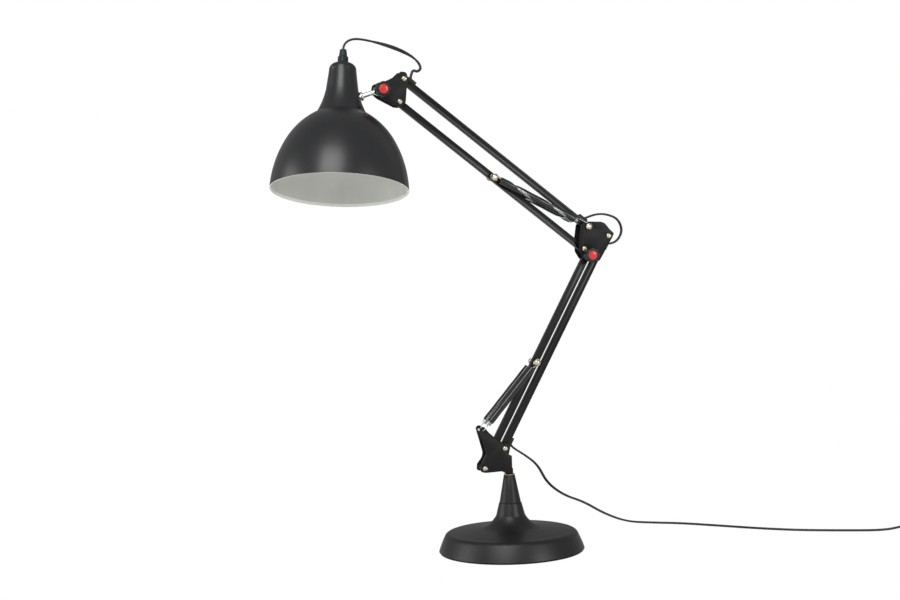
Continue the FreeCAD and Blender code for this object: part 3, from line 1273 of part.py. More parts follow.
def build_upper_arm():
    """Both upper tubes and their fittings."""
    running = PIVOT_RADIUS + PIVOT_CLEARANCE
    main = square_tube(UPPER_MAIN_PIVOT, UPPER_ANGLE, [(0.0, running), (ARM_LENGTH, running)])
    save("upper_cord_tube", cord_tube_holes(main, UPPER_MAIN_PIVOT, UPPER_ANGLE, -1))
    save("upper_cord_entries", cord_entries(UPPER_MAIN_PIVOT, UPPER_ANGLE, -1))
    save("upper_tube_cord", tube_cord(UPPER_MAIN_PIVOT, UPPER_ANGLE, -1, "upper tube cord"))
    opened = PIVOT_RADIUS + OPEN_PIVOT_CLEARANCE
    holes = [(0.0, running), (SPRING_PIN_DISTANCE, PIVOT_RADIUS + 0.02), (ARM_LENGTH, opened)]
    save("upper_link_tube", square_tube(UPPER_LINK_PIVOT, UPPER_ANGLE, holes))
    save("upper_spring_pin", spring_pin(UPPER_PIN))


def build_springs():
    """Four springs and their sleeves."""
    length, angle = spring_line(HORN_HOLE, LOWER_PIN)
    print("lower spring length and angle", length, angle)
    lower = spring(horn_hook(), LOWER_COIL_START, LOWER_COIL_ANGLE, length, HORN_HOLE, angle)
    save("lower_springs", both_sides(lower))
    save("lower_spring_sleeves", both_sides(spring_sleeve(LOWER_SLEEVE_START, length, HORN_HOLE, angle)))
    length, angle = spring_line(UPPER_MAIN_PIVOT, UPPER_PIN)
    print("upper spring length and angle", length, angle)
    upper = spring(anchor_eye(), UPPER_COIL_START, UPPER_COIL_ANGLE, length, UPPER_MAIN_PIVOT, angle)
    save("upper_springs", both_sides(upper))
    save("upper_spring_sleeves", both_sides(spring_sleeve(UPPER_SLEEVE_START, length, UPPER_MAIN_PIVOT, angle)))


def build_head():
    """Head plates, tilt rod, shade and what is in it."""
    save("head_plate_front", head_plate(FRONT))
    save("head_plate_back", head_plate(BACK))
    pivots = [HEAD_MAIN_PIVOT, HEAD_LINK_PIVOT]
    reach = PLATE_OUTER + HEX_HEIGHT
    save("head_screws", [screw(p, PLATE_OUTER, SMALL_HEAD_RADIUS, SMALL_HEAD_HEIGHT, reach) for p in pivots])
    save("head_nuts", [hex_nut_back(p, PLATE_OUTER) for p in pivots])
    save("head_spacers", [s for p in pivots for s in spacer_pair(p)] + friction_washers())
    save("head_knob_bolt", knob_bolt(HEAD_KNOB_PIVOT))
    save("head_knob", knob(HEAD_KNOB_PIVOT))
    save("head_knob_cap", knob_cap(HEAD_KNOB_PIVOT))
    save("tilt_rod", tilt_rod())
    save("rod_nuts", rod_nuts())
    save("shade_shell", shade_shell())
    save("cord_gland", cord_gland())
    save("lampholder", lampholder())
    save("bulb_cap", bulb_cap())
    save("bulb_glass", bulb_glass())


def build_cord():
    """Loose cord, switch and plug."""
    save("head_cord", head_cord())
    save("elbow_cord", elbow_cord())
    save("free_cord", free_cord())
    save("cord_coil", cord_coil())
    save("switch_body", switch_body())
    save("switch_rocker", switch_rocker())
    save("plug_body", plug_body())
    save("plug_pins", plug_pins())


def main():
    """Builds and writes every node."""
    os.makedirs("parts", exist_ok=True)
    build_base()
    build_bracket()
    build_lower_arm()
    build_elbow()
    build_upper_arm()
    build_springs()
    build_head()
    build_cord()
    for name in ("LOWER_MAIN_PIVOT", "LOWER_LINK_PIVOT", "HORN_HOLE", "ELBOW_MAIN_PIVOT", "ELBOW_KNOB_PIVOT",
                 "UPPER_MAIN_PIVOT", "UPPER_LINK_PIVOT", "HEAD_MAIN_PIVOT", "HEAD_LINK_PIVOT", "HEAD_KNOB_PIVOT"):
        print(name, [round(v, 3) for v in globals()[name]])
    print("rod point", rod_point(NECK_DISTANCE), "rod direction", rod_direction())


main()
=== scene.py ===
"""Counterweight balance desk lamp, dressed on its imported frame.

Lengths in the classes are in millimetres and become metres where a mesh is made.
"""
import logging
import math
from dataclasses import dataclass
from enum import Enum

import bpy
from mathutils import Matrix, Vector


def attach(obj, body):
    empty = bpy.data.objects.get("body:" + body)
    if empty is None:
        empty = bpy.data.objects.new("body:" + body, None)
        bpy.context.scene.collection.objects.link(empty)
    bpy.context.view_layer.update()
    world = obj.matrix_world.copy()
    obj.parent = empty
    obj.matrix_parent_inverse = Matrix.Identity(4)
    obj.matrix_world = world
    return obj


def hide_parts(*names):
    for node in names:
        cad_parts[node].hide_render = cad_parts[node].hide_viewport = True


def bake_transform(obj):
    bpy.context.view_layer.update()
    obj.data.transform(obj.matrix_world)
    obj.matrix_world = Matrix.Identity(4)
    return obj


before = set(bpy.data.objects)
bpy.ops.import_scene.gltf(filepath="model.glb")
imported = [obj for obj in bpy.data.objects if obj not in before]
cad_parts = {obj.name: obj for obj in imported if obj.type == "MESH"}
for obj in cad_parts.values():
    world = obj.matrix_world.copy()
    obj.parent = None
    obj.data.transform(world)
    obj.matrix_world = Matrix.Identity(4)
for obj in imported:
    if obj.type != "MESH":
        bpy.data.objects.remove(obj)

logging.basicConfig(level=logging.INFO, format="%(message)s")
LOG = logging.getLogger("lamp")
MM = 0.001

Pair = tuple[float, float]
Triple = tuple[float, float, float]
Color = tuple[float, float, float]


# ------------------------------------------------------------------ shader maths
class Signal:
    """A shader socket that takes part in arithmetic."""

    def __init__(self, paint: "Paint", socket: bpy.types.NodeSocket) -> None:
        """Keeps a socket with the material it belongs to."""
        self.paint = paint
        self.socket = socket

    def _math(self, operation: str, first: object, second: object) -> "Signal":
        """One maths node on two values or signals.

        Args:
            operation: Name of the maths operation.
            first: First value or signal.
            second: Second value or signal.

        Returns:
            The result as a signal.
        """
        return self.paint.node("ShaderNodeMath", {"operation": operation}, {0: first, 1: second})

    def __add__(self, other: object) -> "Signal":
        """Sum."""
        return self._math("ADD", self, other)

    def __radd__(self, other: object) -> "Signal":
        """Reflected sum."""
        return self._math("ADD", other, self)

    def __sub__(self, other: object) -> "Signal":
        """Difference."""
        return self._math("SUBTRACT", self, other)

    def __rsub__(self, other: object) -> "Signal":
        """Reflected difference."""
        return self._math("SUBTRACT", other, self)

    def __mul__(self, other: object) -> "Signal":
        """Product."""
        return self._math("MULTIPLY", self, other)

    def __rmul__(self, other: object) -> "Signal":
        """Reflected product."""
        return self._math("MULTIPLY", other, self)


class Paint:
    """A material under construction."""

    def __init__(self, name: str) -> None:
        """Starts an empty principled material.

        Args:
            name: Name of the material.

        Returns:
            Nothing.
        """
        self.material = bpy.data.materials.new(name)
        self.material.use_nodes = True
        self.tree = self.material.node_tree
        self.shader = self.tree.nodes["Principled BSDF"]

    def node(self, kind: str, settings: dict | None = None, inputs: dict | None = None,
             output: object = 0) -> Signal:
        """Adds one node.

        Args:
            kind: Node type name.
            settings: Attributes to set on the node.
            inputs: Values or signals by input name or index.
            output: Name or index of the output that is returned.

        Returns:
            The chosen output as a signal.
        """
        made = self.tree.nodes.new(kind)
        for key, value in (settings or {}).items():
            setattr(made, key, value)
        for key, value in (inputs or {}).items():
            self._feed(made.inputs[key], value)
        return Signal(self, made.outputs[output])

    def _feed(self, socket: bpy.types.NodeSocket, value: object) -> None:
        """Sets or links one input socket.

        Args:
            socket: The input.
            value: A signal or a plain value.

        Returns:
            Nothing.
        """
        if isinstance(value, Signal):
            self.tree.links.new(value.socket, socket)
        else:
            socket.default_value = value

    def put(self, **sockets: object) -> None:
        """Feeds sockets of the shader.

        Args:
            sockets: Values or signals by socket name, with underscores for spaces.

        Returns:
            Nothing.
        """
        for key, value in sockets.items():
            self._feed(self.shader.inputs[key.replace("_", " ")], value)

    def place(self) -> Signal:
        """Object coordinates."""
        return self.node("ShaderNodeTexCoord", output="Object")

    def noise(self, size: float, detail: float = 3.0, stretch: Triple = (1.0, 1.0, 1.0)) -> Signal:
        """Noise with grains of a real size.

        Args:
            size: Grain size in millimetres.
            detail: Octaves of detail.
            stretch: Scale of the coordinates along each axis.

        Returns:
            A value from 0 to 1.
        """
        spot = self.node("ShaderNodeMapping", None, {"Vector": self.place(), "Scale": stretch})
        return self.node("ShaderNodeTexNoise", None,
                         {"Vector": spot, "Scale": 1.0 / (size * MM), "Detail": detail, "Roughness": 0.55})

    def span(self, value: Signal, low: float, high: float, start: float, end: float) -> Signal:
        """Maps a range of a signal to another range.

        Args:
            value: The signal.
            low: Start of the range read.
            high: End of the range read.
            start: Result at low.
            end: Result at high.

        Returns:
            The mapped signal.
        """
        return self.node("ShaderNodeMapRange", None, {"Value": value, "From Min": low, "From Max": high,
                                                      "To Min": start, "To Max": end})

    def blend(self, factor: object, first: Color, second: Color) -> Signal:
        """Mix of two colours.

        Args:
            factor: Share of the second colour.
            first: First colour.
            second: Second colour.

        Returns:
            The mixed colour.
        """
        sides = {0: factor, 6: (*first, 1.0), 7: (*second, 1.0)}
        return self.node("ShaderNodeMix", {"data_type": "RGBA"}, sides, 2)

    def bump(self, height: Signal, depth: float, strength: float = 1.0) -> None:
        """Feeds a height into the shader's normal.

        Args:
            height: Height from 0 to 1.
            depth: Depth in millimetres.
            strength: Strength of the bump.

        Returns:
            Nothing.
        """
        self.put(Normal=self.node("ShaderNodeBump", None, {"Height": height, "Distance": depth * MM,
                                                           "Strength": strength}))


# ------------------------------------------------------------------ finishes
def shifted(color: Color, factor: float) -> Color:
    """A colour made lighter or darker."""
    return tuple(min(1.0, c * factor) for c in color)


@dataclass(frozen=True)
class PowderCoat:
    """Matte stoved paint on steel, with a fine orange-peel grain, faint mottling and dust."""

    name: str
    color: Color
    roughness: float = 0.42
    grain: float = 0.7
    depth: float = 0.02
    dust: float = 0.05
    sheen: float = 0.36
    dust_color: Color = (0.32, 0.31, 0.29)

    def material(self) -> bpy.types.Material:
        """Builds the material.

        Returns:
            The finished material.
        """
        paint = Paint(self.name)
        cloud = paint.noise(38.0, 4.0)
        peel = paint.noise(self.grain, 2.0)
        speck = paint.span(paint.noise(2.6, 6.0), 0.66, 0.72, 0.0, self.dust)
        mottled = paint.blend(cloud, shifted(self.color, 0.88), shifted(self.color, 1.14))
        sides = {0: speck, 6: mottled, 7: (*self.dust_color, 1.0)}
        tint = paint.node("ShaderNodeMix", {"data_type": "RGBA"}, sides, 2)
        rough = self.roughness + 0.10 * (cloud - 0.5) + 0.08 * (peel - 0.5) + 0.3 * speck
        paint.put(Base_Color=tint, Roughness=rough, Specular_IOR_Level=self.sheen)
        paint.bump(peel + 0.25 * cloud, self.depth, 0.7)
        return paint.material


@dataclass(frozen=True)
class BareMetal:
    """Plated or turned metal with fine turning marks and a few dull patches."""

    name: str
    color: Color
    roughness: float = 0.25
    marks: float = 0.25
    depth: float = 0.006

    def material(self) -> bpy.types.Material:
        """Builds the material.

        Returns:
            The finished material.
        """
        paint = Paint(self.name)
        lines = paint.noise(self.marks, 3.0, (1.0, 0.12, 1.0))
        patch = paint.span(paint.noise(3.5, 4.0), 0.45, 0.7, 0.0, 1.0)
        paint.put(Base_Color=paint.blend(patch, self.color, shifted(self.color, 0.78)), Metallic=1.0,
                  Roughness=self.roughness + 0.16 * patch + 0.08 * (lines - 0.5))
        paint.bump(lines, self.depth, 0.5)
        return paint.material


@dataclass(frozen=True)
class Moulded:
    """Moulded plastic with a fine texture, faint flow clouds and handling shine."""

    name: str
    color: Color
    roughness: float = 0.45
    grain: float = 0.35
    depth: float = 0.012
    coat: float = 0.0
    sheen: float = 0.36

    def material(self) -> bpy.types.Material:
        """Builds the material.

        Returns:
            The finished material.
        """
        paint = Paint(self.name)
        flow = paint.noise(9.0, 3.0)
        fine = paint.noise(self.grain, 2.0)
        paint.put(Base_Color=paint.blend(flow, shifted(self.color, 0.88), shifted(self.color, 1.15)),
                  Roughness=self.roughness + 0.12 * (flow - 0.5) + 0.06 * (fine - 0.5), Coat_Weight=self.coat,
                  Coat_Roughness=0.12, Specular_IOR_Level=self.sheen)
        paint.bump(fine + 0.3 * flow, self.depth, 0.6)
        return paint.material


@dataclass(frozen=True)
class CastIron:
    """Rough sand-cast iron."""

    name: str
    color: Color

    def material(self) -> bpy.types.Material:
        """Builds the material.

        Returns:
            The finished material.
        """
        paint = Paint(self.name)
        sand = paint.noise(1.6, 5.0)
        rust = paint.span(paint.noise(14.0, 5.0), 0.58, 0.74, 0.0, 0.5)
        paint.put(Base_Color=paint.blend(rust, self.color, (0.16, 0.08, 0.04)), Metallic=0.6,
                  Roughness=0.62 + 0.2 * sand)
        paint.bump(sand, 0.25)
        return paint.material


@dataclass(frozen=True)
class OpalGlass:
    """Opal glass of the bulb, softly mottled."""

    name: str
    color: Color

    def material(self) -> bpy.types.Material:
        """Builds the material.

        Returns:
            The finished material.
        """
        paint = Paint(self.name)
        milk = paint.noise(11.0, 3.0)
        paint.put(Base_Color=paint.blend(milk, self.color, shifted(self.color, 0.93)),
                  Roughness=0.14 + 0.08 * milk, Coat_Weight=0.4, Subsurface_Weight=0.2,
                  Subsurface_Scale=0.004)
        paint.bump(milk, 0.02)
        return paint.material


@dataclass(frozen=True)
class FlexJacket:
    """Soft jacket of twin flex with fine drawing lines and scuffs."""

    name: str
    color: Color

    def material(self) -> bpy.types.Material:
        """Builds the material.

        Returns:
            The finished material.
        """
        paint = Paint(self.name)
        cloud = paint.noise(6.0, 4.0)
        fine = paint.noise(0.5, 2.0)
        scuff = paint.span(paint.noise(2.0, 5.0), 0.62, 0.7, 0.0, 0.35)
        paint.put(Base_Color=paint.blend(scuff + 0.2 * cloud, self.color, shifted(self.color, 2.2)),
                  Roughness=0.4 + 0.2 * scuff + 0.1 * (cloud - 0.5))
        paint.bump(fine + 0.5 * cloud, 0.02)
        return paint.material


@dataclass(frozen=True)
class FloorPaper:
    """Plain pale studio floor that shows white to the camera."""

    name: str
    color: Color

    def material(self) -> bpy.types.Material:
        """Builds the material.

        Returns:
            The finished material.
        """
        paint = Paint(self.name)
        cloud = paint.noise(400.0, 3.0)
        paint.put(Base_Color=paint.blend(cloud, self.color, shifted(self.color, 0.985)),
                  Roughness=0.75 + 0.05 * cloud)
        paint.bump(paint.noise(1.5, 3.0), 0.03, 0.2)
        return paint.material


class Tone(Enum):
    """Every finish on the lamp, and the painted highlight along the shade's rim."""

    BASE = PowderCoat("base-paint", (0.0075, 0.0076, 0.0080), 0.42, 0.8, 0.03)
    SLEEVE = PowderCoat("stem-paint", (0.0058, 0.0059, 0.0062), 0.44, 0.8, 0.02)
    PLATE = PowderCoat("plate-paint", (0.0045, 0.0046, 0.0047), 0.50, 0.6, 0.02, 0.03, 0.22)
    TUBE = PowderCoat("tube-paint", (0.0050, 0.0051, 0.0052), 0.30, 0.6, 0.010, 0.02, 0.26)
    SHADE_OUT = PowderCoat("shade-charcoal", (0.0105, 0.0110, 0.0122), 0.33, 0.6, 0.010, 0.03, 0.5)
    SHADE_IN = PowderCoat("shade-white", (0.600, 0.615, 0.570), 0.55, 0.6, 0.010, 0.0)
    # Whiter copy of the shade's inside paint for its rim band: a painted highlight along the rolled rim.
    RIM = PowderCoat("shade-rim-painted-highlight", (0.86, 0.87, 0.84), 0.40, 0.6, 0.008, 0.0)
    IRON = CastIron("cast-iron", (0.10, 0.10, 0.105))
    RUBBER = Moulded("base-rubber", (0.009, 0.009, 0.009), 0.75, 0.5, 0.03)
    STEEL = BareMetal("turned-steel", (0.42, 0.43, 0.44), 0.32)
    BRASS = BareMetal("bush-brass", (0.42, 0.33, 0.18), 0.34)
    IVORY = BareMetal("nickel-ivory", (0.62, 0.56, 0.42), 0.30)
    CHROME = BareMetal("chrome", (0.80, 0.81, 0.82), 0.10, 0.5, 0.001)
    SPRING = BareMetal("spring-steel", (0.56, 0.60, 0.57), 0.30, 0.15)
    ALUMINIUM = BareMetal("cap-aluminium", (0.72, 0.72, 0.70), 0.35)
    NYLON = Moulded("black-nylon", (0.006, 0.006, 0.0062), 0.48)
    KNOB = Moulded("knob-black", (0.0075, 0.0078, 0.0078), 0.38, 0.4)
    RED = Moulded("knob-red", (0.52, 0.022, 0.018), 0.34, 0.5, 0.006, 0.2)
    GLOSS = Moulded("sleeve-gloss", (0.0060, 0.0062, 0.0060), 0.26, 0.6, 0.006, 0.3)
    RELIEF = Moulded("relief-blue-grey", (0.020, 0.025, 0.030), 0.45)
    COLLAR = Moulded("gland-collar", (0.010, 0.012, 0.014), 0.42)
    HOLDER = Moulded("holder-black", (0.014, 0.014, 0.014), 0.5)
    OPAL = OpalGlass("bulb-opal", (0.86, 0.85, 0.81))
    FLEX = FlexJacket("flex-olive-dark", (0.0075, 0.0078, 0.0062))
    SWITCH = Moulded("switch-black", (0.008, 0.008, 0.008), 0.33, 0.4)
    FLOOR = FloorPaper("floor-paper", (0.90, 0.90, 0.90))


class Palette:
    """Materials that are made once and shared."""

    def __init__(self) -> None:
        """Starts with no material made."""
        self.made: dict[Tone, bpy.types.Material] = {}

    def get(self, tone: Tone) -> bpy.types.Material:
        """The material of a tone, made on first use.

        Args:
            tone: The finish.

        Returns:
            Its material.
        """
        if tone not in self.made:
            self.made[tone] = tone.value.material()
        return self.made[tone]


PALETTE = Palette()


# ------------------------------------------------------------------ mesh tools
def only(piece: bpy.types.Object) -> None:
    """Makes one object the only selected one."""
    bpy.ops.object.select_all(action="DESELECT")
    piece.select_set(True)
    bpy.context.view_layer.objects.active = piece


def dress(piece: bpy.types.Object, *tones: Tone) -> None:
    """Gives a piece its finishes.

    Args:
        piece: The object.
        tones: Finishes in slot order.

    Returns:
        Nothing.
    """
    piece.data.materials.clear()
    for tone in tones:
        piece.data.materials.append(PALETTE.get(tone))


def apply_modifier(piece: bpy.types.Object, kind: str, **settings: object) -> None:
    """Adds a modifier to a piece and applies it.

    Args:
        piece: The object.
        kind: Modifier type.
        settings: Attributes of the modifier.

    Returns:
        Nothing.
    """
    only(piece)
    modifier = piece.modifiers.new(kind.lower(), kind)
    for key, value in settings.items():
        setattr(modifier, key, value)
    bpy.ops.object.modifier_apply(modifier=modifier.name)


def smooth(piece: bpy.types.Object, angle: float = 35.0) -> None:
    """Smooths shading up to an angle in degrees."""
    only(piece)
    bpy.ops.object.shade_smooth_by_angle(angle=math.radians(angle))


def outward(piece: bpy.types.Object) -> None:
    """Turns all faces of a closed piece outwards.

    Args:
        piece: The object.

    Returns:
        Nothing.
    """
    only(piece)
    bpy.ops.object.mode_set(mode="EDIT")
    bpy.ops.mesh.select_all(action="SELECT")
    bpy.ops.mesh.normals_make_consistent(inside=False)
    bpy.ops.object.mode_set(mode="OBJECT")


def adopt(node: str, body: str, tone: Tone, bevel: float = 0.3, angle: float = 30.0) -> bpy.types.Object:
    """A cleaned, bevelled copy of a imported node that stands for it.

    Args:
        node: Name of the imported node.
        body: Body that it rides on.
        tone: Its finish.
        bevel: Width of the broken edges.
        angle: Shading angle in degrees.

    Returns:
        The new piece.
    """
    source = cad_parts[node]
    piece = bpy.data.objects.new(node + ".dressed", source.data.copy())
    bpy.context.scene.collection.objects.link(piece)
    only(piece)
    bpy.ops.object.mode_set(mode="EDIT")
    bpy.ops.mesh.select_all(action="SELECT")
    bpy.ops.mesh.remove_doubles(threshold=0.002 * MM)
    bpy.ops.mesh.dissolve_limited(angle_limit=math.radians(1.0))
    bpy.ops.mesh.select_all(action="SELECT")
    bpy.ops.mesh.normals_make_consistent(inside=False)
    bpy.ops.object.mode_set(mode="OBJECT")
    if bevel:
        apply_modifier(piece, "BEVEL", width=bevel * MM, segments=2, limit_method="ANGLE",
                       angle_limit=math.radians(38.0), use_clamp_overlap=True)
    smooth(piece, angle)
    dress(piece, tone)
    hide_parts(node)
    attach(piece, body)
    return piece


def arc_points(start: Pair, middle: Pair, end: Pair, count: int) -> list[Pair]:
    """Points on the arc through three points, without its first.

    Args:
        start: First point.
        middle: Point on the arc.
        end: Last point.
        count: Number of points.

    Returns:
        The points, ending at end.
    """
    (ax, ay), (bx, by), (cx, cy) = start, middle, end
    twice = 2 * (ax * (by - cy) + bx * (cy - ay) + cx * (ay - by))
    sa, sb, sc = ax * ax + ay * ay, bx * bx + by * by, cx * cx + cy * cy
    ox = (sa * (by - cy) + sb * (cy - ay) + sc * (ay - by)) / twice
    oy = (sa * (cx - bx) + sb * (ax - cx) + sc * (bx - ax)) / twice
    radius = math.hypot(ax - ox, ay - oy)
    first = math.atan2(ay - oy, ax - ox)
    last = math.atan2(cy - oy, cx - ox)
    sweep = (last - first + math.pi) % (2 * math.pi) - math.pi
    turns = [first + sweep * k / count for k in range(1, count + 1)]
    return [(ox + radius * math.cos(turn), oy + radius * math.sin(turn)) for turn in turns]


def straight(start: Pair, end: Pair, count: int) -> list[Pair]:
    """Evenly spaced points on a line, without its first.

    Args:
        start: First point.
        end: Last point.
        count: Number of points.

    Returns:
        The points, ending at end.
    """
    return [(start[0] + (end[0] - start[0]) * k / count, start[1] + (end[1] - start[1]) * k / count)
            for k in range(1, count + 1)]


def turned(name: str, stations: list[Pair], segments: int = 96) -> bpy.types.Object:
    """Ring-shaped body about Z through a closed loop of (radius, height) stations.

    Args:
        name: Name of the piece.
        stations: Corners of the section, in order, in millimetres.
        segments: Divisions round the axis.

    Returns:
        The piece, with its faces station after station.
    """
    radius, height = stations[0]
    bpy.ops.object.select_all(action="DESELECT")
    bpy.ops.mesh.primitive_circle_add(vertices=segments, radius=radius * MM, location=(0, 0, 0))
    piece = bpy.context.active_object
    piece.name = name
    bpy.ops.object.mode_set(mode="EDIT")
    bpy.ops.mesh.select_all(action="SELECT")
    bpy.ops.transform.translate(value=(0, 0, height * MM))
    for wide, high in stations[1:] + stations[:1]:
        bpy.ops.mesh.extrude_edges_move(TRANSFORM_OT_translate={"value": (0, 0, (high - height) * MM)})
        bpy.ops.transform.resize(value=(wide / radius, wide / radius, 1))
        radius, height = wide, high
    bpy.ops.mesh.select_all(action="SELECT")
    bpy.ops.mesh.remove_doubles(threshold=0.0005 * MM)
    bpy.ops.mesh.normals_make_consistent(inside=False)
    bpy.ops.object.mode_set(mode="OBJECT")
    return piece


def swept(name: str, route: list[Vector], radius: float, sides: int = 3) -> bpy.types.Object:
    """Round wire along points, capped at both ends.

    Args:
        name: Name of the piece.
        route: Points in metres.
        radius: Radius in millimetres.
        sides: Bevel resolution of the wire.

    Returns:
        The wire as a mesh object.
    """
    curve = bpy.data.curves.new(name, "CURVE")
    curve.dimensions = "3D"
    curve.bevel_depth = radius * MM
    curve.bevel_resolution = sides - 2
    curve.use_fill_caps = True
    spline = curve.splines.new("POLY")
    spline.points.add(len(route) - 1)
    for point, spot in zip(spline.points, route):
        point.co = (*spot, 1.0)
    piece = bpy.data.objects.new(name, curve)
    bpy.context.scene.collection.objects.link(piece)
    only(piece)
    bpy.ops.object.convert(target="MESH")
    bpy.ops.object.shade_smooth()
    return piece


def join(name: str, pieces: list[bpy.types.Object]) -> bpy.types.Object:
    """Joins pieces into one named object.

    Args:
        name: Name of the result.
        pieces: Objects to join.

    Returns:
        The joined object.
    """
    bpy.ops.object.select_all(action="DESELECT")
    for piece in pieces:
        piece.select_set(True)
    bpy.context.view_layer.objects.active = pieces[0]
    bpy.ops.object.join()
    pieces[0].name = name
    return pieces[0]


def polar(length: float, angle: float) -> Pair:
    """(x, z) of a length at an angle in degrees."""
    return (length * math.cos(math.radians(angle)), length * math.sin(math.radians(angle)))


def plus(first: Pair, second: Pair) -> Pair:
    """Sum of two pairs."""
    return (first[0] + second[0], first[1] + second[1])


# ------------------------------------------------------------------ layout shared by the pieces
@dataclass(frozen=True)
class Layout:
    """Pivots and directions of the lamp, in millimetres."""

    arm: float = 326.0
    lower_angle: float = 60.9
    upper_angle: float = 140.8
    lower_main: Pair = (-7.6, 143.0)
    lower_link_offset: Pair = (-29.2, -25.6)
    upper_main_offset: Pair = (-28.5, 13.8)
    upper_link_offset: Pair = (-7.0, -30.4)
    horn_offset: Pair = (-1.3, 51.5)
    knob_offset: Pair = (-31.8, -14.3)
    spring_pin: float = 161.0
    rod_angle: float = 17.3
    neck_distance: float = 54.15
    shade_axis: float = 112.83
    shade_swivel: float = 13.2
    half_tube: float = 4.5
    entry_height: float = 3.6
    entry_exit: float = 8.2
    entry_slope: float = 60.0

    @property
    def lower_link(self) -> Pair:
        """Lower pivot of the lower link."""
        return plus(self.lower_main, self.lower_link_offset)

    @property
    def elbow(self) -> Pair:
        """Upper pivot of the lower cord tube."""
        return plus(self.lower_main, polar(self.arm, self.lower_angle))

    @property
    def upper_main(self) -> Pair:
        """Lower pivot of the upper cord tube."""
        return plus(self.elbow, self.upper_main_offset)

    @property
    def head(self) -> Pair:
        """Upper pivot of the upper cord tube."""
        return plus(self.upper_main, polar(self.arm, self.upper_angle))

    @property
    def head_knob(self) -> Pair:
        """Pivot of the tilt rod."""
        return plus(self.head, self.knob_offset)

    @property
    def horn(self) -> Pair:
        """Hole that the lower springs hook into."""
        return plus(self.lower_link, self.horn_offset)

    @property
    def lower_pin(self) -> Pair:
        """Pin of the lower springs."""
        return plus(self.lower_link, polar(self.spring_pin, self.lower_angle))

    @property
    def upper_pin(self) -> Pair:
        """Pin of the upper springs."""
        return plus(plus(self.upper_main, self.upper_link_offset), polar(self.spring_pin, self.upper_angle))

    def shade_matrix(self) -> Matrix:
        """Pose of the shade's own frame.

        Returns:
            Matrix in metres.
        """
        turn = math.radians(180.0 + self.rod_angle)
        along = Vector((math.cos(turn), 0.0, math.sin(turn)))
        lean = 90.0 - (180.0 + self.rod_angle - self.shade_axis)
        tilt = Matrix.Rotation(math.radians(lean), 4, "Y")
        spin = Matrix.Rotation(math.radians(self.shade_swivel), 4, along) @ tilt
        center = Vector((self.head_knob[0], 0.0, self.head_knob[1])) + along * self.neck_distance
        return Matrix.Translation(center * MM) @ spin

    def entry(self, start: Pair, angle: float, far: bool) -> tuple[Vector, Vector]:
        """Where the cord leaves a boss, and its direction.

        Args:
            start: Lower pivot of the tube.
            angle: Angle of the tube in degrees.
            far: True for the boss at the upper end.

        Returns:
            Point in millimetres and unit direction.
        """
        turn = math.radians(angle)
        along = Vector((math.cos(turn), 0.0, math.sin(turn)))
        across = Vector((math.sin(turn), 0.0, -math.cos(turn)))
        slope = math.radians(self.entry_slope)
        reach = self.arm - self.entry_exit if far else self.entry_exit
        height = self.half_tube + self.entry_height
        point = Vector((start[0], 0.0, start[1])) + along * reach + across * height
        return point, along * (math.cos(slope) * (1 if far else -1)) + across * math.sin(slope)


LAYOUT = Layout()


# ------------------------------------------------------------------ camera
@dataclass(frozen=True)
class ProductCamera:
    """Camera at the angle of the product photograph."""

    lens: float = 68.0
    yaw: float = 14.114
    pitch: float = -2.61
    roll: float = -2.046
    position: Triple = (-0.6368, -2.2339, 0.4539)

    def place(self) -> None:
        """Makes the camera and sets it as the scene's.

        Returns:
            Nothing.
        """
        data = bpy.data.cameras.new("camera")
        data.lens = self.lens
        data.sensor_width = 36.0
        data.clip_start = 0.05
        data.clip_end = 50.0
        camera = bpy.data.objects.new("camera", data)
        bpy.context.scene.collection.objects.link(camera)
        yaw, pitch, roll = (math.radians(v) for v in (self.yaw, self.pitch, self.roll))
        ahead = Vector((math.sin(yaw) * math.cos(pitch), math.cos(yaw) * math.cos(pitch), math.sin(pitch)))
        right = Vector((math.cos(yaw), -math.sin(yaw), 0.0))
        above = right.cross(ahead)
        side = math.cos(roll) * right + math.sin(roll) * above
        top = -math.sin(roll) * right + math.cos(roll) * above
        pose = Matrix((side, top, -ahead)).transposed().to_4x4()
        pose.translation = Vector(self.position)
        camera.matrix_world = pose
        bpy.context.scene.camera = camera


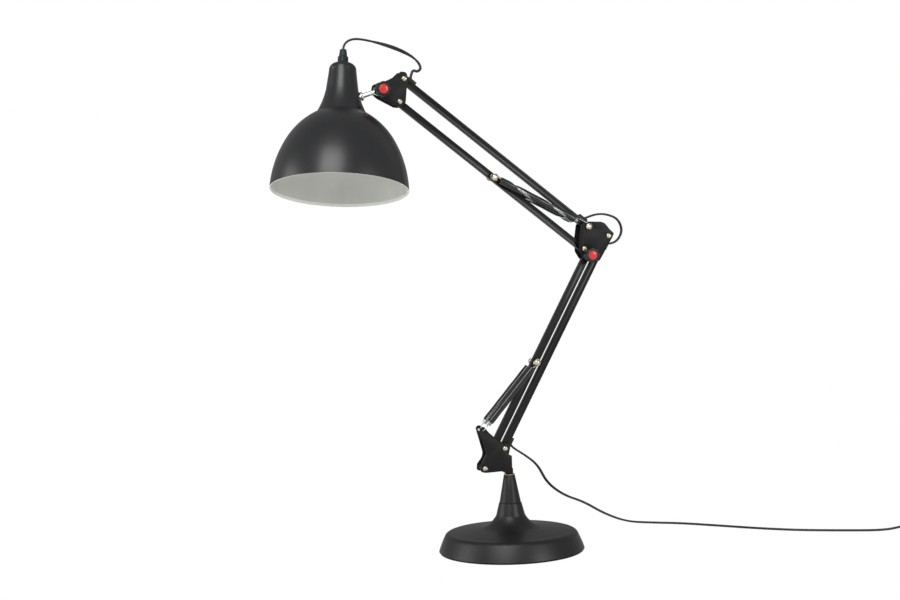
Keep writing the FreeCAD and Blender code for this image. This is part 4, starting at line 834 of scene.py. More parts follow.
# ------------------------------------------------------------------ cords
@dataclass(frozen=True)
class TwinFlex:
    """Flat twin flex: two cores side by side in one jacket."""

    core_radius: float = 1.4
    core_spacing: float = 2.3
    groove: float = 0.55

    @property
    def width(self) -> float:
        """Width across both cores."""
        return self.core_spacing + 2 * self.core_radius

    def line(self, points: list[Vector], resolution: int = 8) -> list[Vector]:
        """Smooth line with the given control points.

        Args:
            points: Control points in millimetres.
            resolution: Divisions per control point.

        Returns:
            Points in metres.
        """
        curve = bpy.data.curves.new("route", "CURVE")
        curve.dimensions = "3D"
        curve.resolution_u = resolution
        spline = curve.splines.new("NURBS")
        spline.points.add(len(points) - 1)
        for point, spot in zip(spline.points, points):
            point.co = (*(spot * MM), 1.0)
        spline.order_u = 3
        spline.use_endpoint_u = True
        carrier = bpy.data.objects.new("route", curve)
        bpy.context.scene.collection.objects.link(carrier)
        bpy.context.view_layer.update()
        mesh = bpy.data.meshes.new_from_object(carrier)
        line = [v.co.copy() for v in mesh.vertices]
        bpy.data.objects.remove(carrier)
        bpy.data.meshes.remove(mesh)
        return line

    def section(self) -> list[Pair]:
        """Outline of the jacket.

        Returns:
            (wide, thick) pairs in millimetres.
        """
        half = self.core_spacing / 2
        waist = self.core_radius - self.groove
        right = [(half + self.core_radius * math.cos(a), self.core_radius * math.sin(a))
                 for a in (math.radians(v) for v in (-118, -80, -40, 0, 40, 80, 118))]
        left = [(-x, y) for x, y in reversed(right)]
        return right + [(0.0, waist)] + left + [(0.0, -waist)]

    def sweep(self, name: str, line: list[Vector], wide: list[Vector]) -> bpy.types.Object:
        """Jacket along a line.

        Args:
            name: Name of the piece.
            line: Ring centres in metres.
            wide: Direction of the flex's width at each ring.

        Returns:
            The piece.
        """
        section = self.section()
        count = len(section)
        verts: list[Vector] = []
        for k, spot in enumerate(line):
            ahead = (line[min(k + 1, len(line) - 1)] - line[max(k - 1, 0)]).normalized()
            across = (wide[k] - ahead * wide[k].dot(ahead)).normalized()
            above = ahead.cross(across)
            verts += [spot + across * (x * MM) + above * (y * MM) for x, y in section]
        corners = [(i, (i + 1) % count) for i in range(count)]
        faces = [(k * count + i, k * count + j, (k + 1) * count + j, (k + 1) * count + i)
                 for k in range(len(line) - 1) for i, j in corners]
        faces += [tuple(range(count)), tuple((len(line) - 1) * count + i for i in range(count))]
        mesh = bpy.data.meshes.new(name)
        mesh.from_pydata(verts, [], faces)
        piece = bpy.data.objects.new(name, mesh)
        bpy.context.scene.collection.objects.link(piece)
        outward(piece)
        smooth(piece, 50.0)
        dress(piece, Tone.FLEX)
        return piece


def length_of(line: list[Vector]) -> float:
    """Length of a line of points."""
    return sum((b - a).length for a, b in zip(line, line[1:]))


def twisted(line: list[Vector], wide: Vector, start: float, end: float, turn: float) -> list[Vector]:
    """Width direction of a flex that twists over part of its length.

    Args:
        line: Ring centres.
        wide: Direction before the twist.
        start: Share of the length where the twist begins.
        end: Share where it ends.
        turn: Whole twist in degrees.

    Returns:
        One direction for each ring.
    """
    total = length_of(line)
    done = 0.0
    wides = []
    for k, spot in enumerate(line):
        if k:
            done += (spot - line[k - 1]).length
        share = min(1.0, max(0.0, (done / total - start) / (end - start)))
        ahead = (line[min(k + 1, len(line) - 1)] - line[max(k - 1, 0)]).normalized()
        wides.append(Matrix.Rotation(math.radians(turn) * share, 3, ahead) @ wide)
    return wides


@dataclass(frozen=True)
class LoopCords:
    """Loose loops at the head and at the elbow."""

    flex: TwinFlex = TwinFlex()
    exit_run: float = 5.0
    long_exit_run: float = 7.0
    tip_height: float = 74.6
    head_route: tuple[Triple, ...] = ((-200.0, 16.2, 701.5), (-188.0, 14.6, 704.6), (-161.0, 11.4, 698.6),
                                      (-134.5, 8.8, 689.8), (-111.5, 6.6, 677.8), (-101.8, 4.6, 664.0),
                                      (-107.6, 2.6, 657.4), (-114.8, 0.9, 660.0))
    elbow_route: tuple[Triple, ...] = ((139.5, 0.0, 458.4), (153.0, 0.0, 457.6), (169.0, 0.0, 451.0),
                                       (175.2, 0.0, 436.0), (170.2, 0.0, 423.4))

    def build(self) -> None:
        """Makes both loops, cut where they cross from body to body.

        Returns:
            Nothing.
        """
        pose = LAYOUT.shade_matrix()
        tip = (pose @ Vector((0, 0, self.tip_height * MM))) / MM
        up = pose.to_3x3() @ Vector((0, 0, 1))
        end, out = LAYOUT.entry(LAYOUT.upper_main, LAYOUT.upper_angle, True)
        points = [tip, tip + up * self.exit_run] + [Vector(p) for p in self.head_route]
        points += [end + out * self.exit_run, end]
        line = self.flex.line(points)
        wide = twisted(line, Vector((0.25, 1.0, 0.0)), 0.30, 0.78, 200.0)
        self._pieces("head-cord", line, wide, ["shade", "tilt_rod", "head", "upper_arm"], "head_cord")
        start, away = LAYOUT.entry(LAYOUT.upper_main, LAYOUT.upper_angle, False)
        end, out = LAYOUT.entry(LAYOUT.lower_main, LAYOUT.lower_angle, True)
        points = [start, start + away * self.long_exit_run] + [Vector(p) for p in self.elbow_route]
        points += [end + out * self.long_exit_run, end]
        line = self.flex.line(points)
        wide = twisted(line, Vector((0.0, 1.0, 0.0)), 0.1, 0.9, 0.0)
        self._pieces("elbow-cord", line, wide, ["upper_arm", "elbow", "lower_arm"], "elbow_cord")
        LOG.info("cord loops built")

    def _pieces(self, name: str, line: list[Vector], wide: list[Vector], bodies: list[str],
                node: str) -> None:
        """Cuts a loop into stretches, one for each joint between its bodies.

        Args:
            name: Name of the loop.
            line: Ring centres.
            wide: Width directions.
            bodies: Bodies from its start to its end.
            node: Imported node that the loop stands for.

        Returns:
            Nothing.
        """
        shares = len(bodies) - 1
        total = length_of(line)
        cuts = [min(range(len(line)), key=lambda i: abs(length_of(line[:i + 1]) - total * k / shares))
                for k in range(shares + 1)]
        for k in range(shares):
            first, last = cuts[k], cuts[k + 1]
            part = line[first:last + 1]
            piece = self.flex.sweep(f"{name}-{k + 1}", part, wide[first:last + 1])
            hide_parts(node)
            length_of(part)
            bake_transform(piece)


@dataclass(frozen=True)
class SupplyCord:
    """Supply flex from the lower tube along the floor to its switch, its tied coil and its plug."""

    flex: TwinFlex = TwinFlex()
    exit_run: float = 5.0
    route: tuple[Triple, ...] = ((24.0, 0.8, 130.4), (43.0, 4.8, 115.0), (57.0, 12.0, 88.5),
                                 (86.0, 27.0, 66.5), (122.0, 49.0, 51.5), (160.0, 74.0, 28.0),
                                 (202.0, 95.5, 9.0), (246.0, 110.5, 1.6), (283.0, 88.0, 1.6),
                                 (327.0, 44.0, 1.6), (369.0, 0.5, 1.6), (413.0, -35.5, 1.6),
                                 (470.0, -65.0, 1.6), (519.0, -88.6, 2.0))
    switch_start: Pair = (552.0, -104.0)
    switch_angle: float = -25.0
    switch_length: float = 58.0
    switch_axis: float = 8.0
    approach: float = 52.0
    flat_run: float = 24.0
    coil_radius: float = 34.2
    coil_pitch: float = 5.3
    layer_turns: float = 2.785
    climb_turns: float = 0.5
    start_angle: float = 245.0
    floor_height: float = 1.6
    upper_height: float = 5.2
    plug_height: float = 7.2
    plug_end: Pair = (686.26, -154.15)
    tie_center: Pair = (666.15, -119.49)
    tie_angle: float = 100.0
    tie_inner: float = 15.6
    tie_outer: float = 37.8
    tie_top: float = 7.6
    tie_wire: float = 0.55
    relief_length: float = 20.0
    relief_wide: float = 4.4
    relief_taper: float = 1.5
    relief_ribs: int = 8
    points_per_turn: int = 14

    def coil_point(self, center: Vector, done: float) -> Vector:
        """Point of the coil after a number of turns.

        Args:
            center: Centre of the coil.
            done: Turns from its start.

        Returns:
            The point in millimetres.
        """
        inward = min(done, self.layer_turns)
        back = max(0.0, done - self.layer_turns - self.climb_turns)
        radius = self.coil_radius - self.coil_pitch * (inward - back)
        climb = min(1.0, max(0.0, (done - self.layer_turns) / self.climb_turns))
        height = self.floor_height + (self.upper_height - self.floor_height) * climb
        turn = math.radians(self.start_angle) + 2 * math.pi * done
        return Vector((center.x + radius * math.cos(turn), center.y + radius * math.sin(turn), height))

    def points(self) -> list[Vector]:
        """Control points of the whole flex.

        Returns:
            Points in millimetres.
        """
        start, out = LAYOUT.entry(LAYOUT.lower_main, LAYOUT.lower_angle, False)
        points = [start, start + out * self.exit_run] + [Vector(p) for p in self.route]
        turn = math.radians(self.switch_angle)
        ahead = Vector((math.cos(turn), math.sin(turn), 0.0))
        near = Vector((*self.switch_start, self.switch_axis))
        far = near + ahead * self.switch_length
        points += [near - ahead * 12.0, near, near + ahead * 29.0, far, far + ahead * 6.0]
        entry = far + ahead * self.approach
        spin = math.radians(self.start_angle)
        center = Vector((entry.x - self.coil_radius * math.cos(spin),
                         entry.y - self.coil_radius * math.sin(spin), 0.0))
        flat = entry - ahead * self.flat_run
        points.append(Vector((flat.x, flat.y, self.floor_height)))
        total = 2 * self.layer_turns + self.climb_turns
        count = int(round(total * self.points_per_turn))
        points += [self.coil_point(center, total * k / count) for k in range(count + 1)]
        last = points[-1].copy()
        tail = Vector((*self.plug_end, self.plug_height))
        points += [last + (tail - last) * 0.45, tail - Vector((4.0, 0.0, 0.0)), tail]
        return points

    def build(self) -> None:
        """Makes the flex with its switch, plug, reliefs and tie.

        Returns:
            Nothing.
        """
        line = self.flex.line(self.points(), 5)
        wide = []
        for k in range(len(line)):
            ahead = line[min(k + 1, len(line) - 1)] - line[max(k - 1, 0)]
            level = Vector((-ahead.y, ahead.x, 0.0)).normalized()
            share = min(1.0, max(0.0, (line[k].x - 0.02) / 0.06)) if k < 60 else 1.0
            wide.append((Vector((0.0, 1.0, 0.0)) * (1.0 - share) + level * share).normalized())
        piece = self.flex.sweep("supply-cord", line, wide)
        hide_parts("free_cord", "cord_coil")
        switch = adopt("switch_body", "bracket", Tone.SWITCH, 0.4)
        rocker = adopt("switch_rocker", "rocker", Tone.KNOB, 0.3)
        plug = adopt("plug_body", "bracket", Tone.SWITCH, 0.4)
        pins = adopt("plug_pins", "bracket", Tone.IVORY, 0.1)
        extras = [self._tie()]
        turn = math.radians(self.switch_angle)
        end = (self.switch_start[0] + self.switch_length * math.cos(turn),
               self.switch_start[1] + self.switch_length * math.sin(turn))
        extras.append(self._relief("switch-relief-out", line, end, 1))
        extras.append(self._relief("plug-relief", line, self.plug_end, -1))
        for extra in extras:
            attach(extra, "bracket")
        length_of(line)
        [switch, rocker, plug, pins] + extras
        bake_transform(piece)
        LOG.info("supply cord built, %.3f m", length_of(line))

    def _relief(self, name: str, line: list[Vector], spot: Pair, way: int) -> bpy.types.Object:
        """Tapered ribbed relief on the flex.

        Args:
            name: Name of the piece.
            line: The flex's ring centres.
            spot: Where the relief's wide end sits, in millimetres.
            way: 1 along the flex, -1 back along it.

        Returns:
            The piece.
        """
        near = min(range(len(line)), key=lambda k: (line[k].xy - Vector(spot) * MM).length + line[k].z * 0.01)
        stations = []
        for k in range(self.relief_ribs + 1):
            share = k / self.relief_ribs
            radius = self.relief_wide - self.relief_taper * share
            foot = self.relief_length * share
            stations += [(radius, foot), (radius, foot + 1.1), (radius - 0.6, foot + 1.5)]
        stations = stations + [(1.2, stations[-1][1]), (1.2, 0.0)]
        piece = turned(name, stations, 20)
        k = max(1, min(len(line) - 2, near))
        ahead = (line[k + 1] - line[k - 1]).normalized() * way
        center = Vector((spot[0] * MM, spot[1] * MM, line[k].z))
        pose = Matrix.Translation(center) @ ahead.to_track_quat("Z", "Y").to_matrix().to_4x4()
        piece.data.transform(pose)
        smooth(piece, 30.0)
        dress(piece, Tone.SWITCH)
        return piece

    def _tie(self) -> bpy.types.Object:
        """Paper-wire tie round one side of the coil.

        Returns:
            The piece.
        """
        center = Vector((*self.tie_center, 0.0))
        turn = math.radians(self.tie_angle)
        side = Vector((math.cos(turn), math.sin(turn), 0.0))
        inner, outer, top = self.tie_inner, self.tie_outer, self.tie_top
        loop = [(inner, 0.6), (outer, 0.6), (outer + 1.2, 2.0), (outer + 1.0, 5.4), (outer - 1.0, top),
                (inner + 1.0, top), (inner - 1.0, 5.8), (inner - 1.0, 2.0), (inner, 0.6)]
        path = [(center + side * r + Vector((0.0, 0.0, z))) * MM for r, z in loop]
        band = swept("coil-tie-loop", path, self.tie_wire)
        knot = (center + side * (outer - 6.0) + Vector((0.0, 0.0, top + 0.7))) * MM
        cross = Vector((-side.y, side.x, 0.0))
        tails = []
        for way in (-1, 1):
            middle = knot + (cross * 5.0 * way + side * 4.0 + Vector((0, 0, 1.2))) * MM
            tip = knot + (cross * 9.0 * way + side * 5.5) * MM
            tails.append(swept("coil-tie-tail", [knot, middle, tip], self.tie_wire))
        band = join("coil-tie", [band] + tails)
        dress(band, Tone.NYLON)
        return band


# ------------------------------------------------------------------ springs
@dataclass(frozen=True)
class SpringPair:
    """Two close-wound tension springs with twisted slit sleeves, one each side of the arm."""

    name: str
    anchor: Pair
    pin: Pair
    coil_start: float
    sleeve_start: float
    bodies: tuple[str, str]
    nodes: tuple[str, str]
    hooked: bool
    slit_phases: Pair
    slit_pitch: float = 57.0
    side: float = 10.5
    wire: float = 0.6
    coil_radius: float = 3.15
    pitch: float = 1.42
    end_gap: float = 11.0
    eye_radius: float = 3.4
    sleeve_radius: float = 4.45
    sleeve_wall: float = 0.5
    sleeve_end_gap: float = 9.5
    slit_angle: float = 95.0

    def pose(self, way: int) -> Matrix:
        """Matrix from the spring's own frame, along +X from its anchor.

        Args:
            way: -1 for the front spring, 1 for the back one.

        Returns:
            Matrix in metres.
        """
        angle = math.atan2(self.pin[1] - self.anchor[1], self.pin[0] - self.anchor[0])
        spot = Vector((self.anchor[0], self.side * way, self.anchor[1])) * MM
        return Matrix.Translation(spot) @ Matrix.Rotation(-angle, 4, "Y")

    @property
    def length(self) -> float:
        """Distance from anchor to pin."""
        return math.hypot(self.pin[0] - self.anchor[0], self.pin[1] - self.anchor[1])

    def wire_line(self, way: int) -> list[Vector]:
        """Centre line of one spring in its own frame.

        Args:
            way: -1 for the front spring, 1 for the back one.

        Returns:
            Points in millimetres.
        """
        points: list[Vector] = []
        if self.hooked:
            points += [Vector((4.5, -1.95 * way, 0.0)), Vector((1.95, -1.95 * way, 0.0))]
            points += [Vector((1.95 - 1.95 * math.sin(a), -1.95 * way * math.cos(a), 0.0))
                       for a in (math.radians(v) for v in range(30, 180, 30))]
            points += [Vector((1.95, 1.95 * way, 0.0)), Vector((self.coil_start - 3.0, 1.95 * way, 0.0))]
        else:
            points += [Vector((3.2 * math.cos(a), 1.95 * way, 3.2 * math.sin(a)))
                       for a in (math.radians(v) for v in range(30, 271, 20))]
            points += [Vector((self.coil_start - 4.0, 1.95 * way, -3.2))]
        coil_end = self.length - self.end_gap
        turns = round((coil_end - self.coil_start) / self.pitch)
        first = 90.0 if self.hooked else 180.0
        for k in range(turns * 12 + 1):
            a = math.radians(first + 30.0 * k)
            points.append(Vector((self.coil_start + (coil_end - self.coil_start) * k / (turns * 12),
                                  self.coil_radius * math.sin(a), self.coil_radius * math.cos(a))))
        near, far = self.length - 2.0, self.length + 2.0
        points += [Vector((near, 0.0, -self.eye_radius))]
        points += [Vector((far + self.eye_radius * math.cos(a), 0.0, self.eye_radius * math.sin(a)))
                   for a in (math.radians(v) for v in range(-90, 91, 30))]
        points += [Vector((near + self.eye_radius * math.cos(a), 0.0, self.eye_radius * math.sin(a)))
                   for a in (math.radians(v) for v in (90, 120, 150))]
        return points

    def sleeve(self, way: int) -> bpy.types.Object:
        """Slit sleeve that winds slowly round its spring.

        Args:
            way: -1 for the front spring, 1 for the back one.

        Returns:
            The piece.
        """
        span = self.length - self.sleeve_end_gap - self.sleeve_start
        bpy.ops.object.select_all(action="DESELECT")
        bpy.ops.mesh.primitive_grid_add(x_subdivisions=60, y_subdivisions=28, size=1.0, location=(0, 0, 0))
        piece = bpy.context.active_object
        cover = math.radians(360.0 - self.slit_angle)
        phase = math.radians(self.slit_phases[0 if way < 0 else 1])
        for vertex in piece.data.vertices:
            along = (vertex.co.x + 0.5) * span
            turn = vertex.co.y * cover + phase + 2 * math.pi * way * along / self.slit_pitch
            radius = self.sleeve_radius + 0.1 * math.sin(along / 4.0)
            ring = (radius * math.sin(turn), radius * math.cos(turn))
            vertex.co = Vector((self.sleeve_start + along, *ring)) * MM
        apply_modifier(piece, "SOLIDIFY", thickness=self.sleeve_wall * MM, offset=0.0)
        apply_modifier(piece, "BEVEL", width=0.12 * MM, segments=2, limit_method="ANGLE")
        piece.data.transform(self.pose(way))
        outward(piece)
        smooth(piece, 40.0)
        return piece

    def build(self) -> None:
        """Makes both springs and both sleeves.

        Returns:
            Nothing.
        """
        wires = []
        for way in (-1, 1):
            pose = self.pose(way)
            line = [pose @ (p * MM) for p in self.wire_line(way)]
            wires.append(swept(self.name + "-wire", line, self.wire))
        springs = join(self.name + "-springs", wires)
        dress(springs, Tone.SPRING)
        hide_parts(self.nodes[0])
        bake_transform(springs)
        sleeves = join(self.name + "-sleeves", [self.sleeve(way) for way in (-1, 1)])
        dress(sleeves, Tone.GLOSS)
        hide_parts(self.nodes[1])
        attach(sleeves, self.bodies[1])
        LOG.info("%s springs built", self.name)


# ------------------------------------------------------------------ base and stem
@dataclass(frozen=True)
class Base:
    """Weighted round base with its pad, flared neck and tapered stem."""

    radius: float = 100.0
    crease_inset: float = 8.4
    crease_height: float = 23.0
    top_radius: float = 45.0
    top_height: float = 32.5
    neck_radius: float = 19.8
    neck_height: float = 50.0
    mouth_radius: float = 15.5
    mouth_height: float = 67.0
    wall: float = 1.8
    bottom: float = 2.5
    sleeve_top: float = 7.6
    sleeve_height: float = 105.5
    sleeve_bore: float = 6.2

    def outline(self, shift: float) -> list[Pair]:
        """Line of the cover from its rim to its mouth.

        Args:
            shift: Inset of the line.

        Returns:
            (radius, height) pairs.
        """
        crease = self.radius - self.crease_inset
        rim = (self.radius - shift, self.bottom)
        side = (self.radius - 4.3 - shift, 14.0 - shift)
        edge = (crease - shift, self.crease_height - shift)
        corner = (crease - 2.4 - shift, self.crease_height + 2.9 - shift)
        top = (crease - 8.0 - shift, self.crease_height + 4.4 - shift)
        slope = (self.top_radius - shift, self.top_height - shift)
        flare = (self.top_radius - 17.4 - shift, self.top_height + 7.6 - shift)
        neck = (self.neck_radius - shift, self.neck_height - shift)
        mouth = (self.mouth_radius - shift, self.mouth_height - (shift if shift else 0.0))
        line = [rim] + arc_points(rim, side, edge, 10) + arc_points(edge, corner, top, 7)
        line += straight(top, slope, 5)
        line += arc_points(slope, flare, neck, 14)
        line += straight(neck, mouth, 3)
        return line

    def build(self) -> None:
        """Makes the cover, the sleeve and the dressed inner pieces.

        Returns:
            Nothing.
        """
        outer = self.outline(0.0)
        inner = self.outline(self.wall)
        lip = [(self.mouth_radius - 0.4, self.mouth_height),
               (self.mouth_radius - self.wall, self.mouth_height - 0.3)]
        cover = turned("base-cover", outer[:-1] + [(self.mouth_radius, self.mouth_height - 0.4)] + lip
                       + list(reversed(inner[:-1])), 128)
        smooth(cover, 14.0)
        dress(cover, Tone.BASE)
        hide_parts("base_cover")
        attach(cover, "base")
        foot = self.mouth_radius - 0.8
        top = self.sleeve_height
        sleeve = turned("stem-sleeve", [(foot - 0.3, self.mouth_height), (foot, self.mouth_height + 0.5),
                                        (foot - 3.5, self.mouth_height + 19.0),
                                        (self.sleeve_top + 0.1, top - 0.8), (self.sleeve_top - 0.4, top),
                                        (self.sleeve_bore, top), (self.sleeve_bore, top - 4.0),
                                        (foot - 1.3, self.mouth_height)], 64)
        smooth(sleeve, 28.0)
        dress(sleeve, Tone.SLEEVE)
        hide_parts("stem_sleeve")
        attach(sleeve, "base")
        adopt("base_pad", "base", Tone.RUBBER, 0.4)
        for node, tone in (("base_weight", Tone.IRON), ("stem_post", Tone.STEEL), ("stem_nuts", Tone.STEEL),
                           ("swivel_bush", Tone.BRASS)):
            dress(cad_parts[node], tone)
        LOG.info("base built")


# ------------------------------------------------------------------ plates, tubes and knobs
@dataclass(frozen=True)
class Linkage:
    """Bracket, elbow and head plates with the square tubes and their fasteners."""

    tube_edge: float = 0.9
    plate_edge: float = 0.35
    small_edge: float = 0.2
    plates: tuple[str, ...] = ("bracket", "elbow", "head")
    arms: tuple[str, ...] = ("lower", "upper")

    def build(self) -> None:
        """Dresses every piece of the linkage.

        Returns:
            Nothing.
        """
        for group in self.plates:
            for side in ("front", "back"):
                adopt(f"{group}_plate_{side}", group, Tone.PLATE, self.plate_edge)
            adopt(f"{group}_screws", group, Tone.IVORY, self.small_edge)
            adopt(f"{group}_nuts", group, Tone.IVORY, self.small_edge)
            adopt(f"{group}_spacers", group, Tone.NYLON, self.small_edge)
        adopt("elbow_anchor_screw", "elbow", Tone.IVORY, self.small_edge)
        adopt("bracket_spindle", "bracket", Tone.PLATE, self.plate_edge)
        for arm in self.arms:
            adopt(f"{arm}_cord_tube", f"{arm}_arm", Tone.TUBE, self.tube_edge)
            adopt(f"{arm}_link_tube", f"{arm}_link", Tone.TUBE, self.tube_edge)
            adopt(f"{arm}_cord_entries", f"{arm}_arm", Tone.NYLON, self.small_edge)
            adopt(f"{arm}_spring_pin", f"{arm}_link", Tone.IVORY, self.small_edge)
            dress(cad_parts[f"{arm}_tube_cord"], Tone.FLEX)
        LOG.info("linkage built")


@dataclass(frozen=True)
class Knobs:
    """Two fluted clamping knobs with red caps."""

    groups: tuple[str, ...] = ("elbow", "head")
    edge: float = 0.5

    def build(self) -> None:
        """Dresses knobs, caps and bolts.

        Returns:
            Nothing.
        """
        for group in self.groups:
            adopt(f"{group}_knob", f"{group}_knob", Tone.KNOB, self.edge)
            adopt(f"{group}_knob_cap", f"{group}_knob", Tone.RED, 0.35)
            adopt(f"{group}_knob_bolt", group, Tone.CHROME, 0.2)
        LOG.info("knobs built")


# ------------------------------------------------------------------ head
@dataclass(frozen=True)
class Shade:
    """Spun shade with its gland, lampholder and bulb."""

    radius: float = 92.0
    rim_drop: float = 119.4
    top: float = 54.6
    wall: float = 1.1
    crease_radius: float = 33.6
    crease_drop: float = 14.8
    neck_radius: float = 18.3
    gland_radius: float = 7.2
    gland_height: float = 10.0
    relief_radius: float = 5.7
    relief_top: float = 4.4
    relief_height: float = 10.0
    segments: int = 160

    def outline(self, shift: float) -> list[Pair]:
        """Line of the shade from its rim to its crown.

        Args:
            shift: Inset of the line.

        Returns:
            (radius, height) pairs.
        """
        low = -self.rim_drop
        rim = (self.radius - shift * 1.15, low)
        bell = (self.radius - 5.9 - shift, low + 34.4 - shift)
        waist = (self.radius - 17.4 - shift, low + 62.4 - shift)
        shoulder = (self.crease_radius + 23.7 - shift, -self.crease_drop - 18.2 - shift)
        crease = (self.crease_radius - shift, -self.crease_drop - shift)
        flare = (27.2 - shift, -1.0 - shift)
        neck = (21.6 - shift, 18.6 - shift)
        collar = (self.neck_radius - shift, 44.5 - shift)
        corner = (self.neck_radius - 2.1 - shift, 51.5 - shift)
        crown = (self.neck_radius - 7.6 - shift, self.top - shift)
        line = [rim] + arc_points(rim, bell, waist, 16) + arc_points(waist, shoulder, crease, 16)
        line += arc_points(crease, flare, neck, 10)
        line += straight(neck, collar, 4)
        return line + arc_points(collar, corner, crown, 7)

    def build(self) -> None:
        """Makes the shade and dresses what it holds.

        Returns:
            Nothing.
        """
        pose = LAYOUT.shade_matrix()
        outer = self.outline(0.0)
        inner = list(reversed(self.outline(self.wall)))
        hole = [(4.35, self.top), (4.35, self.top - self.wall)]
        stations = outer + hole + inner
        shell = turned("shade-shell", stations, self.segments)
        dress(shell, Tone.SHADE_OUT, Tone.SHADE_IN, Tone.RIM)
        for face in shell.data.polygons:
            middle = face.center
            wide = math.hypot(middle.x, middle.y) / MM
            high = middle.z / MM
            # Inside faces within 2.6 mm of the rim, and the rim's cut face, take the whiter rim tone, which
            # is a painted highlight along the rim; other inward faces take the inside paint.
            if high < -self.rim_drop + 2.6 and (wide < self.radius - 0.7 or high < -self.rim_drop + 0.05):
                face.material_index = 2
            elif face.normal.xy.dot(middle.xy) < 0 and high < self.top - 2.0 and wide > 5.0:
                face.material_index = 1
        shell.data.transform(pose)
        smooth(shell, 12.0)
        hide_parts("shade_shell")
        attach(shell, "shade")
        self._gland(pose)
        adopt("lampholder", "shade", Tone.HOLDER, 0.4)
        adopt("bulb_glass", "shade", Tone.OPAL, 0.0, 60.0)
        adopt("bulb_cap", "shade", Tone.ALUMINIUM, 0.2)
        adopt("tilt_rod", "tilt_rod", Tone.CHROME, 0.3)
        adopt("rod_nuts", "tilt_rod", Tone.IVORY, 0.3)
        LOG.info("shade built")

    def _gland(self, pose: Matrix) -> None:
        """Ribbed gland collar with its grooved relief.

        Args:
            pose: Matrix of the shade's frame.

        Returns:
            Nothing.
        """
        top = self.top + self.gland_height
        stations = [(2.3, self.top), (self.gland_radius - 0.4, self.top), (self.gland_radius, self.top + 0.4)]
        for k in range(4):
            base = self.top + 1.6 + k * 1.9
            stations += [(self.gland_radius - 0.05, base), (self.gland_radius - 0.5, base + 0.35),
                         (self.gland_radius - 0.5, base + 0.75), (self.gland_radius - 0.1, base + 1.1)]
        stations += [(self.gland_radius - 0.4, top - 0.5), (self.gland_radius - 1.0, top), (2.3, top)]
        collar = turned("gland-collar", stations, 48)
        taper = [(2.3, top), (self.relief_radius, top)]
        for k in range(4):
            share = (k + 0.6) / 4.4
            radius = self.relief_radius + (self.relief_top - self.relief_radius) * share
            base = top + self.relief_height * share - 0.9
            taper += [(radius + 0.15, base), (radius - 0.45, base + 0.3), (radius - 0.45, base + 0.8),
                      (radius, base + 1.1)]
        tip = top + self.relief_height
        taper += [(self.relief_top, tip - 0.6), (self.relief_top - 0.7, tip), (2.3, tip)]
        relief = turned("gland-relief", taper, 40)
        for piece, tone in ((collar, Tone.COLLAR), (relief, Tone.RELIEF)):
            piece.data.transform(pose)
            smooth(piece, 30.0)
            dress(piece, tone)
            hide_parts("cord_gland")
            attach(piece, "shade")


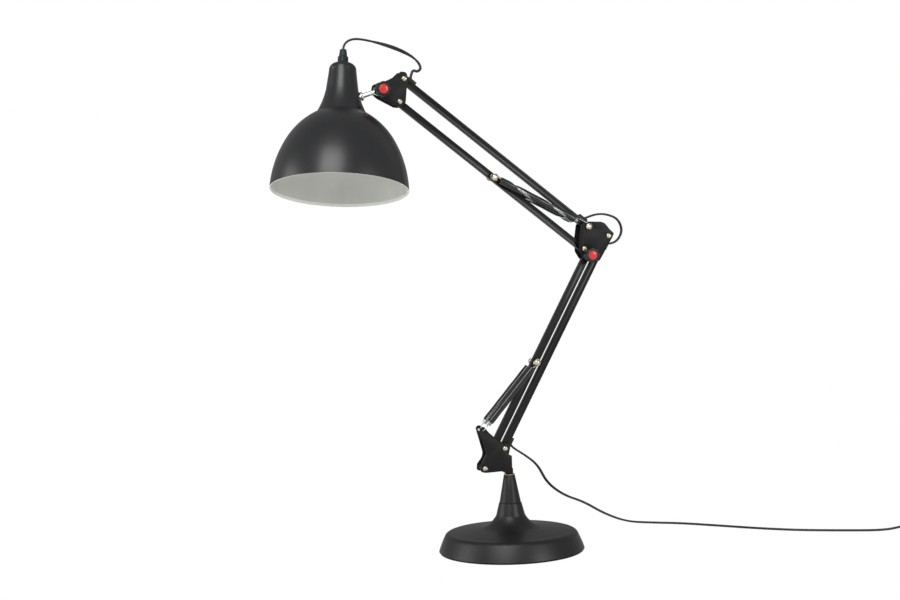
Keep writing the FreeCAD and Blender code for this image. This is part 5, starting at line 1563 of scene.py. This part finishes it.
# ------------------------------------------------------------------ studio
@dataclass(frozen=True)
class Studio:
    """Plain pale floor, white surround and soft lights."""

    floor_size: float = 12.0
    key_power: float = 70.0
    surround: float = 0.34
    lights: tuple[tuple[str, Triple, Triple, float, float], ...] = (
        ("key", (-1.1, -1.9, 2.2), (0.0, 0.0, 0.35), 1.5, 0.8),
        ("left-strip", (-2.6, 0.3, 0.8), (0.0, 0.0, 0.3), 1.4, 0.40),
        ("right", (1.5, -2.3, 1.0), (0.0, 0.0, 0.4), 0.8, 0.36))

    def build(self) -> None:
        """Makes the floor, the surround and the lights.

        Returns:
            Nothing.
        """
        bpy.ops.object.select_all(action="DESELECT")
        bpy.ops.mesh.primitive_plane_add(size=self.floor_size, location=(0, 0, 0))
        floor = bpy.context.active_object
        floor.name = "floor"
        bpy.ops.object.mode_set(mode="EDIT")
        bpy.ops.mesh.select_all(action="SELECT")
        bpy.ops.mesh.subdivide(number_cuts=6)
        bpy.ops.object.mode_set(mode="OBJECT")
        dress(floor, Tone.FLOOR)
        self._whiten(PALETTE.get(Tone.FLOOR))
        world = bpy.data.worlds.new("surround")
        bpy.context.scene.world = world
        world.use_nodes = True
        tree = world.node_tree
        tree.nodes.clear()
        seen = tree.nodes.new("ShaderNodeBackground")
        seen.inputs[0].default_value = (1.0, 1.0, 1.0, 1.0)
        seen.inputs[1].default_value = 1.0
        around = tree.nodes.new("ShaderNodeBackground")
        around.inputs[0].default_value = (1.0, 1.0, 1.0, 1.0)
        around.inputs[1].default_value = self.surround
        path = tree.nodes.new("ShaderNodeLightPath")
        mix = tree.nodes.new("ShaderNodeMixShader")
        out = tree.nodes.new("ShaderNodeOutputWorld")
        tree.links.new(path.outputs["Is Camera Ray"], mix.inputs[0])
        tree.links.new(around.outputs[0], mix.inputs[1])
        tree.links.new(seen.outputs[0], mix.inputs[2])
        tree.links.new(mix.outputs[0], out.inputs[0])
        for name, spot, target, size, share in self.lights:
            data = bpy.data.lights.new(name, "AREA")
            data.shape = "RECTANGLE"
            data.size = size
            data.size_y = size * 1.3
            data.energy = self.key_power * share
            lamp = bpy.data.objects.new(name, data)
            lamp.location = spot
            lamp.rotation_euler = (Vector(target) - Vector(spot)).to_track_quat("-Z", "Y").to_euler()
            bpy.context.scene.collection.objects.link(lamp)
        bpy.context.scene.view_settings.view_transform = "Standard"
        LOG.info("studio built")

    def _whiten(self, material: bpy.types.Material) -> None:
        """Makes the floor plain white to the camera.

        Args:
            material: The floor's material.

        Returns:
            Nothing.
        """
        tree = material.node_tree
        out = next(n for n in tree.nodes if n.type == "OUTPUT_MATERIAL")
        glow = tree.nodes.new("ShaderNodeEmission")
        glow.inputs[0].default_value = (1.0, 1.0, 1.0, 1.0)
        path = tree.nodes.new("ShaderNodeLightPath")
        mix = tree.nodes.new("ShaderNodeMixShader")
        tree.links.new(path.outputs["Is Camera Ray"], mix.inputs[0])
        tree.links.new(tree.nodes["Principled BSDF"].outputs[0], mix.inputs[1])
        tree.links.new(glow.outputs[0], mix.inputs[2])
        tree.links.new(mix.outputs[0], out.inputs[0])


def main() -> None:
    """Builds the whole lamp in order.

    Returns:
        Nothing.
    """
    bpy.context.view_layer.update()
    ProductCamera().place()
    SupplyCord().build()
    LoopCords().build()
    Base().build()
    Linkage().build()
    Knobs().build()
    Shade().build()
    SpringPair("lower", LAYOUT.horn, LAYOUT.lower_pin, 11.5, 15.9, ("lower_springs", "lower_sleeves"),
               ("lower_springs", "lower_spring_sleeves"), True, (-140.0, 78.0), -420.0).build()
    SpringPair("upper", LAYOUT.upper_main, LAYOUT.upper_pin, 18.5, 22.3, ("upper_springs", "upper_sleeves"),
               ("upper_springs", "upper_spring_sleeves"), False, (-96.0, 96.0)).build()
    Studio().build()


if __name__ == "__main__":
    main()
